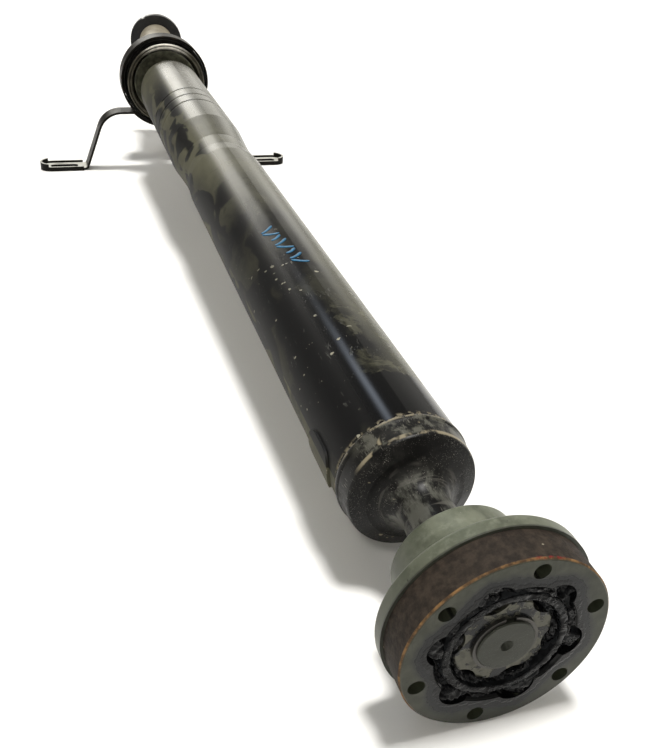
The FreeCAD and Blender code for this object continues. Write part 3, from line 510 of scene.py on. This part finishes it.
def machined_steel():
    g = Graph("machined_steel")
    lathe_marks = g.noise(0.6, 3, 0.6, (1, 0.04, 0.04), seed=1)
    stained = g.blotches(0.45, 0.7, 10, 4, 0.6, seed=2)
    colour = g.blend((0.34, 0.33, 0.3), (0.16, 0.14, 0.11), stained)
    rough = g.calc("ADD", g.between(0.28, 0.45, stained), g.times(lathe_marks, 0.08))
    return g.finish(colour, rough, 0.9, g.bump(lathe_marks, 0.03))


def bearing_steel():
    g = Graph("bearing_steel")
    haze = g.noise(6, 3, 0.5, seed=1)
    colour = g.blend((0.5, 0.5, 0.49), (0.36, 0.35, 0.33), haze)
    return g.finish(colour, g.between(0.12, 0.25, haze), 1.0, g.bump(haze, 0.02))


def spring_steel():
    g = Graph("spring_steel")
    patchy = g.noise(3, 4, 0.6, seed=1)
    colour = g.blend((0.03, 0.03, 0.03), (0.1, 0.095, 0.085), patchy)
    return g.finish(colour, g.between(0.3, 0.5, patchy), 0.8, g.bump(patchy, 0.05))


def clamp_steel():
    g = Graph("clamp_steel")
    brushed = g.noise(0.5, 3, 0.6, (1, 0.05, 0.05), seed=1)
    tarnish = g.blotches(0.45, 0.7, 8, 4, 0.6, seed=2)
    colour = g.blend((0.42, 0.41, 0.38), (0.17, 0.14, 0.1), tarnish)
    return g.finish(colour, g.between(0.28, 0.5, tarnish), 0.9, g.bump(brushed, 0.03))


def seal_rubber():
    g = Graph("seal_rubber")
    dusty = g.noise(4, 4, 0.6, seed=1)
    colour = g.blend((0.03, 0.016, 0.01), (0.06, 0.045, 0.035), dusty)
    return g.finish(colour, g.between(0.5, 0.7, dusty), 0.0, g.bump(dusty, 0.05))


def boot_rubber():
    """Black rubber with a dry bloom and a little road dust."""
    g = Graph("boot_rubber")
    bloom = g.blotches(0.4, 0.7, 12, 5, 0.6, seed=1)
    grain = g.noise(0.9, 2, 0.5, seed=2)
    dust = g.blotches(0.55, 0.72, 3, 4, 0.65, seed=3)
    colour = g.blend((0.008, 0.008, 0.0076), (0.022, 0.0215, 0.0195), bloom)
    colour = g.blend(colour, (0.07, 0.065, 0.052), g.times(dust, 0.35))
    return g.finish(colour, g.between(0.42, 0.7, bloom), 0.0, g.bump(g.calc("ADD", grain, dust), 0.08), 1.16)


def housing_steel():
    """Pressed steel of the bearing's drum: brown film, a painted highlight along the top of its lip and
    painted shade in its groove.
    """
    g = Graph("housing_steel")
    spun = g.noise(0.8, 3, 0.6, (1, 0.05, 0.05), seed=1)
    tarnish = g.blotches(0.4, 0.66, 9, 5, 0.65, seed=2)
    groove_shade = g.span(g.radius(), *DRUM_GROOVE, 0.0002)
    top = g.span(g.angle(), 1.1, 2.05, 0.3)
    colour = g.blend((0.075, 0.068, 0.05), (0.035, 0.032, 0.024), tarnish)
    # Painted highlight: near-white along the top of the lip, where the light catches it.
    painted_top_highlight = g.times(top, g.between(0.95, 0.6, tarnish))
    colour = g.blend(colour, (0.85, 0.82, 0.74), painted_top_highlight)
    # Painted shade: a dark line in the lip's groove.
    colour = g.blend(colour, (0.02, 0.018, 0.015), g.times(groove_shade, 0.85))
    rough = g.between(0.3, 0.48, tarnish)
    return g.finish(colour, rough, g.between(0.6, 0.25, painted_top_highlight), g.bump(spun, 0.04))


def shield_steel():
    g = Graph("shield_steel")
    dusty = g.blotches(0.36, 0.66, 9, 5, 0.6, seed=1)
    spun = g.noise(1.0, 3, 0.5, (1, 0.08, 0.08), seed=2)
    colour = g.blend((0.045, 0.045, 0.033), (0.115, 0.115, 0.08), dusty)
    return g.finish(colour, g.between(0.34, 0.58, dusty), 0.3, g.bump(spun, 0.05))


def bracket_steel():
    """Dark painted bracket: rust in patches, and paler upward faces, most on top of its feet: dust with a
    painted sheen.
    """
    g = Graph("bracket_steel")
    geometry = g.add("ShaderNodeNewGeometry")
    parts = g.add("ShaderNodeSeparateXYZ")
    g.feed(parts.inputs[0], geometry.outputs["Normal"])
    upward = g.step(parts.outputs[2], 0.25, 0.85)
    cloud = g.noise(18, 5, 0.6, seed=1)
    rusty = g.blotches(0.54, 0.68, 7, 5, 0.65, seed=2)
    foot = g.step(g.z, *FOOT_TOP)
    faint_dust = g.times(g.step(cloud, 0.3, 0.62), 0.06)
    foot_dust_and_sheen = g.times(foot, g.step(cloud, 0.2, 0.5))
    dust = g.times(upward, g.either(faint_dust, foot_dust_and_sheen))
    speckle = g.blotches(0.6, 0.7, 1.6, 3, 0.6, seed=3)
    colour = g.blend((0.004, 0.0039, 0.0034), (0.0115, 0.0105, 0.0085), cloud)
    colour = g.blend(colour, (0.05, 0.03, 0.017), g.times(rusty, 0.55))
    # The feet's upward faces are painted near-white: dust together with a painted sheen of the overhead
    # light.
    colour = g.blend(colour, g.blend((0.07, 0.066, 0.052), (0.5, 0.49, 0.45), foot), g.times(dust, 0.9))
    colour = g.blend(colour, (0.15, 0.14, 0.11), g.times(speckle, 0.12))
    rough = g.calc("ADD", 0.36, g.times(g.either(dust, rusty), 0.3), True)
    normal = g.bump(g.calc("ADD", cloud, g.times(rusty, 0.5)), 0.2)
    return g.finish(colour, rough, 0.0, normal, 1.14)


def bell_steel():
    g = Graph("bell_steel")
    scale = g.blotches(0.42, 0.66, 6, 5, 0.65, seed=1)
    spots = g.blotches(0.6, 0.7, 2.0, 4, 0.6, seed=2)
    colour = g.blend((0.045, 0.043, 0.038), (0.11, 0.095, 0.072), scale)
    colour = g.blend(colour, (0.16, 0.08, 0.04), g.times(spots, 0.5))
    return g.finish(colour, g.between(0.36, 0.58, scale), 0.6, g.bump(g.calc("ADD", scale, spots), 0.12))


def sleeve_paint():
    """Light beige coating, dusty and marked."""
    g = Graph("sleeve_paint")
    cloud = g.noise(14, 5, 0.6, seed=1)
    marks = g.blotches(0.58, 0.7, 4, 4, 0.65, (0.4, 1, 1), seed=2)
    colour = g.blend((0.2, 0.175, 0.13), (0.29, 0.26, 0.2), g.step(cloud, 0.35, 0.7))
    colour = g.blend(colour, (0.07, 0.055, 0.035), g.times(marks, 0.55))
    return g.finish(colour, g.between(0.38, 0.55, cloud), 0.1, g.bump(g.calc("ADD", cloud, marks), 0.08))


def end_flange_paint():
    g = Graph("end_flange_paint")
    worn = g.blotches(0.52, 0.68, 5, 5, 0.65, seed=1)
    cloud = g.noise(16, 4, 0.6, seed=2)
    colour = g.blend((0.012, 0.0125, 0.0135), (0.03, 0.03, 0.031), cloud)
    colour = g.blend(colour, (0.06, 0.05, 0.038), g.times(worn, 0.4))
    return g.finish(colour, g.between(0.34, 0.55, worn), 0.2, g.bump(worn, 0.1))


def blue_paint():
    g = Graph("blue_marker")
    thin = g.noise(2.2, 3, 0.6, seed=1)
    colour = g.blend((0.012, 0.075, 0.15), (0.04, 0.19, 0.36), thin)
    return g.finish(colour, g.between(0.35, 0.55, thin), 0.0, g.bump(thin, 0.03))


def floor_white():
    g = Graph("floor_white")
    colour = g.blend((0.8, 0.795, 0.785), (0.84, 0.835, 0.825), g.noise(400, 3, 0.5, seed=1))
    return g.finish(colour, 0.7, 0.0)


MATERIALS = {
    "main_tube": tube_paint, "balance_weight": tube_paint, "axle_end_stub": stub_paint,
    "axle_joint_can": can_plating, "axle_joint_outer_race": flange_steel,
    "axle_joint_inner_race": race_steel, "gearbox_joint_inner_race": race_steel,
    "axle_joint_cage": cage_steel, "gearbox_joint_cage": cage_steel,
    "axle_joint_balls": greased_ball, "gearbox_joint_balls": greased_ball,
    "bearing_balls": bearing_steel, "bearing_cage": bearing_steel,
    "bearing_inner_race": bearing_steel, "bearing_outer_race": bearing_steel,
    "axle_joint_circlip": spring_steel, "gearbox_joint_circlip": spring_steel,
    "bearing_circlip": spring_steel, "axle_joint_dished_washer": spring_steel,
    "axle_boot_clamp": clamp_steel, "gearbox_boot_clamp_small": clamp_steel,
    "gearbox_boot_clamp_large": clamp_steel, "bearing_end_stub": machined_steel,
    "front_dust_shield": shield_steel, "rear_dust_shield": shield_steel,
    "bearing_seals": seal_rubber, "bearing_housing": housing_steel,
    "bracket_ring": bracket_steel, "bracket_strap": bracket_steel,
    "gearbox_joint_bell": bell_steel, "gearbox_sleeve": sleeve_paint,
    "gearbox_flange": end_flange_paint, "axle_joint_boot": boot_rubber,
    "gearbox_joint_boot": boot_rubber, "rubber_cushion": boot_rubber,
}
made = {}


def material(recipe):
    """The material that a recipe makes, made once."""
    if recipe not in made:
        made[recipe] = recipe()
    return made[recipe]


def paint(obj, recipe):
    obj.data.materials.clear()
    obj.data.materials.append(material(recipe))


# === Meshes ============================================================================
def mesh_piece(name, points, faces, recipe, smooth=True):
    """Object from points in millimetres in the CAD's frame."""
    mesh = bpy.data.meshes.new(name)
    mesh.from_pydata([Vector(point) * MM for point in points], [], faces)
    shape = bmesh.new()
    shape.from_mesh(mesh)
    bmesh.ops.recalc_face_normals(shape, faces=shape.faces)
    shape.to_mesh(mesh)
    shape.free()
    mesh.polygons.foreach_set("use_smooth", [smooth] * len(mesh.polygons))
    obj = bpy.data.objects.new(name, mesh)
    bpy.context.scene.collection.objects.link(obj)
    paint(obj, recipe)
    return obj


def polar(x, radius, angle):
    return Vector((x, radius * math.cos(angle), radius * math.sin(angle)))


def tube_grid(columns, rows):
    """Faces of a grid that closes on itself both ways."""
    faces = []
    for column in range(columns):
        after = (column + 1) % columns
        for row in range(rows):
            above = (row + 1) % rows
            here, there = column * rows, after * rows
            faces.append((here + row, there + row, there + above, here + above))
    return faces


def rounded(outline, passes=2):
    """Closed outline with its corners cut, again on each pass, so that it is smooth."""
    for _ in range(passes):
        cut = []
        for here, there in zip(outline, outline[1:] + outline[:1]):
            cut.append(tuple(a + (b - a) * 0.25 for a, b in zip(here, there)))
            cut.append(tuple(a + (b - a) * 0.75 for a, b in zip(here, there)))
        outline = cut
    return outline


def turned(name, outline, recipe, place=polar, columns=144):
    """Ring turned round the axis from a closed outline; place puts one outline point at an angle."""
    points = []
    for column in range(columns):
        angle = 2 * math.pi * column / columns
        points.extend(place(*step, angle) for step in outline)
    return mesh_piece(name, points, tube_grid(columns, len(outline)), recipe)


def wall(middle, half):
    """Closed outline of a rubber wall of that half thickness round an open middle line."""
    outer, inner = [], []
    for index, here in enumerate(middle):
        before = middle[max(index - 1, 0)]
        after = middle[min(index + 1, len(middle) - 1)]
        along = (Vector(after[:2]) - Vector(before[:2])).normalized()
        across = Vector((-along.y, along.x)) * half
        rest = tuple(here[2:])
        outer.append((here[0] + across.x, here[1] + across.y, *rest))
        inner.append((here[0] - across.x, here[1] - across.y, *rest))
    return outer + inner[::-1]


def swept_arc(centre, radius, start, end, count=9):
    """Points along an arc in (x, radius) space, angles in degrees."""
    return [
        (centre[0] + radius * math.cos(math.radians(start + (end - start) * index / count)),
         centre[1] + radius * math.sin(math.radians(start + (end - start) * index / count)))
        for index in range(count + 1)
    ]


# === Rubber ============================================================================
def axle_boot():
    """Rolled diaphragm in two halves, joined at the roll's crest."""
    outer_r, inner_r, bend_x = 30.1, 22.3, -44.0
    roll_r = (outer_r - inner_r) / 2
    centre = (bend_x, (outer_r + inner_r) / 2)
    half = BOOT_WALL / 2
    collar_r = STUB_R + 0.05 + half
    inner_line = [
        (-61.0, collar_r), (-58, collar_r), (-53.5, collar_r), (-51.6, collar_r + 0.4),
        (-50.6, collar_r + 2.4), (-49.6, inner_r - 2.2), (-48.2, inner_r - 0.4), (-46, inner_r),
    ] + swept_arc(centre, roll_r, -90, 0)
    outer_line = swept_arc(centre, roll_r, 0, 90) + [(-47, outer_r), (-50, outer_r + 0.02), (-55, outer_r)]
    inner = turned("axle_boot_inner", wall(inner_line, half), boot_rubber)
    outer = turned("axle_boot_outer", wall(outer_line, half), boot_rubber)
    for piece in (inner, outer):
        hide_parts("axle_joint_boot")
    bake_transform(inner)
    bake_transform(outer)


def at_gearbox_bend(u, radius, share, angle):
    """Point on the far boot; share runs from 0 on the shaft, through 1 at the balls, to 2 on the bell."""
    yaw = math.radians(REST_YAW) * max(share - 1, 0)
    pitch = math.radians(REST_PITCH) * min(share, 1)
    point = Matrix.Rotation(yaw, 3, "Z") @ polar(u, radius, angle)
    point = Matrix.Rotation(pitch, 3, "Y") @ point
    return point + X_AXIS * GEARBOX_PIVOT_X


def gearbox_boot():
    """Short boot with one fold from the bell's mouth to the stub, in two halves."""
    half = BOOT_WALL / 2
    bell_r = BELL_R + half
    bell_line = [
        (6.5, bell_r, 2), (10, bell_r, 2), (16, bell_r, 2), (18.6, bell_r - 0.1, 2), (20.2, bell_r - 1.4, 2),
        (20.9, bell_r - 3.6, 1.9), (21.2, 40.2, 1.8), (22.4, 38.9, 1.65), (24.6, 38.2, 1.45),
        (26.6, 37.0, 1.25), (27.6, 35.2, 1.1), (27.8, 33.2, 1.0),
    ]
    stub_r = STUB_R + 0.05 + half
    stub_line = [
        (27.8, 33.2, 1.0), (27.2, 31.2, 0.85), (25.8, 29.4, 0.7), (24.9, 27.4, 0.6), (25.0, 25.2, 0.5),
        (26.2, 22.8, 0.35), (28.0, 20.4, 0.2), (29.4, stub_r + 1.6, 0.1), (30.8, stub_r + 0.2, 0),
        (33, stub_r, 0), (37, stub_r, 0), (40.5, stub_r, 0),
    ]
    outer = turned("gearbox_boot_outer", wall(bell_line, half), boot_rubber, at_gearbox_bend)
    inner = turned("gearbox_boot_inner", wall(stub_line, half), boot_rubber, at_gearbox_bend)
    for piece in (inner, outer):
        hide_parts("gearbox_joint_boot")
    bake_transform(inner)
    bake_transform(outer)


def cushion():
    """Rubber ring between drum and bracket, with a rolled fold in its front face."""
    half = 10.0
    outer_r, inner_r = 57.2, 47.0
    edge = [half * math.sin(turn) for turn in (-1.2, -0.8, -0.4, 0.0, 0.4, 0.8, 1.2)]
    outer = [(x, math.sqrt(outer_r ** 2 - x * x)) for x in edge]
    inner = [(x, math.sqrt(inner_r ** 2 - x * x)) for x in reversed(edge)]
    front = [(10.0, 55.4), (9.4, 54.3), (5.5, 53.7), (2.4, 52.6), (1.8, 51.2), (2.6, 49.8), (6.0, 48.9),
             (9.4, 48.4), (10.0, 47.2)]
    back = [(-x, r) for x, r in reversed(front)]
    outline = [(BEARING_X + x, r) for x, r in outer + front + inner + back]
    piece = turned("cushion_rubber_ring", outline, boot_rubber)
    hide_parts("rubber_cushion")
    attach(piece, "cushion")


# === Clamp ears ========================================================================
def clamp_ear(name, body, x_span, band_r, angle_deg, place):
    """Crimped ear of a band clamp: a raised loop across the band."""
    half_width, height, sheet = 4.2, 3.0, 0.8
    loop = [(-half_width - 2, 0.0), (-half_width, 0.1), (-half_width + 0.6, height * 0.55),
            (-half_width * 0.5, height), (half_width * 0.5, height), (half_width - 0.6, height * 0.55),
            (half_width, 0.1), (half_width + 2, 0.0)]
    outline = rounded([(a, h + sheet) for a, h in loop] + [(a, h) for a, h in reversed(loop)], 2)
    points = []
    for x in x_span:
        for across, height_here in outline:
            radius = band_r + 0.05 + height_here
            points.append(place(x, radius, math.radians(angle_deg) + across / band_r))
    count = len(outline)
    faces = [(i, (i + 1) % count, count + (i + 1) % count, count + i) for i in range(count)]
    faces += [tuple(range(count)), tuple(reversed(range(count, 2 * count)))]
    piece = mesh_piece(name, points, faces, clamp_steel, smooth=False)
    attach(piece, body)


def on_bell(u, radius, angle):
    return at_gearbox_bend(u, radius, 2, angle)


# === Grease ============================================================================
def lumpy(place, size):
    """Smooth hills and hollows between about 0 and 1."""
    return 0.5 + 0.5 * noise.fractal(Vector(place) / size, 0.9, 2.1, 3)


def ridged(place, size):
    """Sharp crests: 1 along them, falling to 0."""
    return 1 - min(1, 2.2 * abs(noise.fractal(Vector(place) / size, 1.0, 2.0, 2)))


def grease_ring(name, body, inner_r, outer_r, back_x, front, columns=300, rows=15):
    """Grease between two radii; outer_r depends on the angle, front gives the surface's x."""
    points = []
    for column in range(columns):
        angle = 2 * math.pi * column / columns
        far = outer_r(angle)
        for row in range(rows):
            radius = inner_r + (far - inner_r) * row / (rows - 1)
            points.append(polar(front(radius, angle, row / (rows - 1)), radius, angle))
        points.append(polar(back_x, far, angle))
        points.append(polar(back_x, inner_r, angle))
    piece = mesh_piece(name, points, tube_grid(columns, rows + 2), grease)
    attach(piece, body)


def track_reach(angle, circle_r, track_r, bore_r):
    """Radius of the joint's bore, tracks included, at an angle."""
    step = 2 * math.pi / TRACK_COUNT
    away = (angle - math.radians(FIRST_TRACK_ANGLE) + step / 2) % step - step / 2
    side = circle_r * math.sin(away)
    if abs(side) >= track_r:
        return bore_r
    return max(bore_r, circle_r * math.cos(away) + math.sqrt(track_r ** 2 - side ** 2))


def outer_grease_front(radius, angle, share):
    """Grease in the outer tracks: bridges up to the face with hollows between, under sharp crests."""
    place = polar(0, radius, angle)
    hollow = min(1, max(0, 2.4 * (0.62 - lumpy(place, 11))))
    crest = ridged(place + Vector((40, 0, 0)), 4.2)
    edge = max(0, 1 - min(share, 1 - share) * 5)
    return -0.12 - 4.6 * hollow - 0.85 * (1 - crest) - 0.5 * edge


def inner_grease_front(radius, angle, share):
    """Grease between the inner race and the cage."""
    place = polar(7, radius, angle)
    hollow = min(1, max(0, 2.6 * (0.66 - lumpy(place, 9))))
    crest = ridged(place, 3.6)
    edge = max(0, 1 - min(share, 1 - share) * 5)
    return -1.3 - 4.4 * hollow - 0.8 * (1 - crest) - 0.5 * edge


def cage_grease_front(radius, angle, share):
    """Thin smear on the cage's front."""
    place = polar(23, radius, angle)
    crest = ridged(place, 6.0)
    edge = max(0, 1 - min(share, 1 - share) * 4)
    return -0.15 - 0.45 * (1 - crest) - 0.35 * edge


def pack_grease():
    """Grease round the cage, on it and inside it; each ring moves with what it sticks to."""
    grease_ring(
        "grease_in_outer_tracks", "axle_flange", CAGE_FRONT_R + 0.2,
        lambda angle: track_reach(angle, BALL_CIRCLE_R, TRACK_R, RACE_BORE_R + 0.3) - 0.05,
        -9.0, outer_grease_front)
    grease_ring(
        "grease_on_cage", "axle_ball_set", CAGE_BORE_R + 0.1, lambda angle: CAGE_FRONT_R - 0.1,
        -1.0, cage_grease_front, 360, 7)
    grease_ring(
        "grease_round_inner_race", "shaft", 22.3, lambda angle: CAGE_BORE_R - 0.6,
        -9.0, inner_grease_front, 360, 9)


# === Paint marks =======================================================================
MARK_START = (-392.0, 110.0)
MARK_END = (-320.0, 93.0)
MARK_COUNT = 8
MARK_REACH = (3.4, 7.5)
MARK_HALF_WIDTH = 1.5
MARK_EDGE_LIFT = 0.03
MARK_MIDDLE_LIFT = 0.14
MARK_ROOT = 0.2


def dab(number, share):
    """Point (x, degrees round the tube) on one slanted, slightly bowed brush dab."""
    along = (number + 0.5) / MARK_COUNT
    lean = -0.7 if number % 3 == 1 else 1
    swell = 1 + 0.25 * math.sin(number * 2.1)
    step = 2 * share - 1
    x = MARK_START[0] + (MARK_END[0] - MARK_START[0]) * along + MARK_REACH[0] * swell * lean * step
    bow = 2.2 * (1 - step * step)
    turn = MARK_START[1] + (MARK_END[1] - MARK_START[1]) * along + MARK_REACH[1] * swell * step
    return x + bow, turn


def dab_points(line):
    """Cross-sections along a dab: two edges and a raised middle on the tube, and a point under its skin."""
    points = []
    last = len(line) - 1
    for index, (x, turn) in enumerate(line):
        before = line[max(index - 1, 0)]
        after = line[min(index + 1, last)]
        along = Vector((after[0] - before[0], math.radians(after[1] - before[1]) * TUBE_R)).normalized()
        across = Vector((-along.y, along.x))
        half = MARK_HALF_WIDTH * min(1.0, 0.4 + min(index, last - index) / 4)
        for side, lift in ((-half, MARK_EDGE_LIFT), (0, MARK_MIDDLE_LIFT), (half, MARK_EDGE_LIFT)):
            angle = math.radians(turn) + across.y * side / TUBE_R
            points.append(polar(x + across.x * side, TUBE_R + lift, angle))
        points.append(polar(x, TUBE_R - MARK_ROOT, math.radians(turn)))
    return points


def dab_faces(count):
    """Faces of a four-sided strip with closed ends."""
    faces = []
    for index in range(count):
        for side in range(4):
            here, there = index * 4 + side, index * 4 + (side + 1) % 4
            faces.append((here, there, there + 4, here + 4))
    end = 4 * count
    faces.append((0, 1, 2, 3))
    faces.append((end + 3, end + 2, end + 1, end))
    return faces


def paint_marks(count=20):
    """Blue marker dabs on the tube's top, which spell nothing."""
    for number in range(MARK_COUNT):
        line = [dab(number, index / count) for index in range(count + 1)]
        piece = mesh_piece(f"paint_mark_{number + 1}", dab_points(line), dab_faces(count), blue_paint)
        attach(piece, "shaft")


# === Stage =============================================================================
def make_floor():
    """Pale floor through the object's two supports: the can's rim and the bracket's feet."""
    can_low, can_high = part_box("axle_joint_can")
    foot_low, foot_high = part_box("bracket_strap")
    near = Vector((can_high.x, 0, can_low.z))
    far = Vector((foot_high.x, 0, foot_low.z))
    along = (near - far).normalized()
    normal = Vector((-along.z, 0, along.x))
    half_size = 30.0
    gap = 0.0002
    middle = (near + far) / 2 - normal * gap
    sideways = Vector((0, 1, 0))
    signs = ((-1, -1), (1, -1), (1, 1), (-1, 1))
    corners = [middle + along * a * half_size + sideways * b * half_size for a, b in signs]
    mesh = bpy.data.meshes.new("floor")
    mesh.from_pydata(corners, [], [(0, 1, 2, 3)])
    floor = bpy.data.objects.new("floor", mesh)
    bpy.context.scene.collection.objects.link(floor)
    paint(floor, floor_white)


def make_sky():
    """Soft surroundings: even, with a few darker and brighter patches that shape the reflections."""
    world = bpy.data.worlds.new("studio")
    bpy.context.scene.world = world
    world.use_nodes = True
    tree = world.node_tree
    background = tree.nodes["Background"]
    place = tree.nodes.new("ShaderNodeTexCoord").outputs["Generated"]
    parts = tree.nodes.new("ShaderNodeSeparateXYZ")
    tree.links.new(place, parts.inputs[0])
    toward_x, toward_y, toward_z = parts.outputs

    def calc(operation, a, b):
        node = tree.nodes.new("ShaderNodeMath")
        node.operation = operation
        for socket, value in zip(node.inputs, (a, b)):
            if isinstance(value, bpy.types.NodeSocket):
                tree.links.new(value, socket)
            else:
                socket.default_value = value
        return node.outputs[0]

    def ramp(value, low, high, low_value, high_value):
        node = tree.nodes.new("ShaderNodeMapRange")
        node.interpolation_type = "SMOOTHSTEP"
        tree.links.new(value, node.inputs["Value"])
        settings = zip(("From Min", "From Max", "To Min", "To Max"), (low, high, low_value, high_value))
        for name, number in settings:
            node.inputs[name].default_value = number
        return node.outputs[0]

    def span(value, low, high, soft):
        low, high, soft = (math.radians(angle) for angle in (low, high, soft))
        rise = ramp(value, low - soft, low + soft, 0, 1)
        return calc("MULTIPLY", rise, ramp(value, high - soft, high + soft, 1, 0))

    def tinted(strength, colour):
        node = tree.nodes.new("ShaderNodeVectorMath")
        node.operation = "SCALE"
        node.inputs[0].default_value = colour
        tree.links.new(strength, node.inputs["Scale"])
        return node.outputs[0]

    azimuth = calc("ARCTAN2", toward_y, calc("MULTIPLY", toward_x, -1.0))
    elevation = calc("ARCSINE", toward_z, 0.0)
    total = [SKY_BASE * part for part in SKY_COLOUR]
    for left, right, side_soft, low, high, soft, strength, colour in SKY_PATCHES:
        patch = calc("MULTIPLY", span(azimuth, left, right, side_soft), span(elevation, low, high, soft))
        node = tree.nodes.new("ShaderNodeVectorMath")
        node.operation = "ADD"
        if isinstance(total, bpy.types.NodeSocket):
            tree.links.new(total, node.inputs[0])
        else:
            node.inputs[0].default_value = total
        tree.links.new(tinted(calc("MULTIPLY", patch, strength), colour), node.inputs[1])
        total = node.outputs[0]
    tree.links.new(total, background.inputs["Color"])


def make_key():
    """A wide lamp almost overhead: the shadow falls just beside the tube, with soft edges."""
    key = bpy.data.lights.new("key", "SUN")
    key.energy = KEY_STRENGTH
    key.angle = math.radians(KEY_SPREAD)
    key.color = KEY_COLOUR
    holder = bpy.data.objects.new("key", key)
    holder.rotation_euler = (math.radians(KEY_TILT[0]), math.radians(-KEY_TILT[1]), 0)
    bpy.context.scene.collection.objects.link(holder)


def make_camera():
    camera = bpy.data.cameras.new("camera")
    camera.lens = CAMERA_LENS
    camera.sensor_width = 36
    camera.clip_start, camera.clip_end = 0.01, 100
    holder = bpy.data.objects.new("camera", camera)
    turn = Matrix((CAMERA_RIGHT, CAMERA_UP, CAMERA_BACK)).transposed()
    holder.matrix_world = Matrix.LocRotScale(Vector(CAMERA_PLACE), turn.to_quaternion(), None)
    bpy.context.scene.collection.objects.link(holder)
    bpy.context.scene.camera = holder


# === Build =============================================================================
for node_name, recipe in MATERIALS.items():
    for slot in nodes[node_name].material_slots:
        slot.material = material(recipe)

make_camera()
make_floor()
make_sky()
make_key()
bpy.context.scene.view_settings.view_transform = "Standard"

axle_boot()
gearbox_boot()
cushion()
pack_grease()
paint_marks()
clamp_ear("gearbox_clamp_ear_large", "gearbox_flange", (10.4, 15.6), 46.9, 60, on_bell)
small_clamp_span = (GEARBOX_PIVOT_X + 31.9, GEARBOX_PIVOT_X + 36.1)
clamp_ear("gearbox_clamp_ear_small", "shaft", small_clamp_span, 17.5, 100, polar)
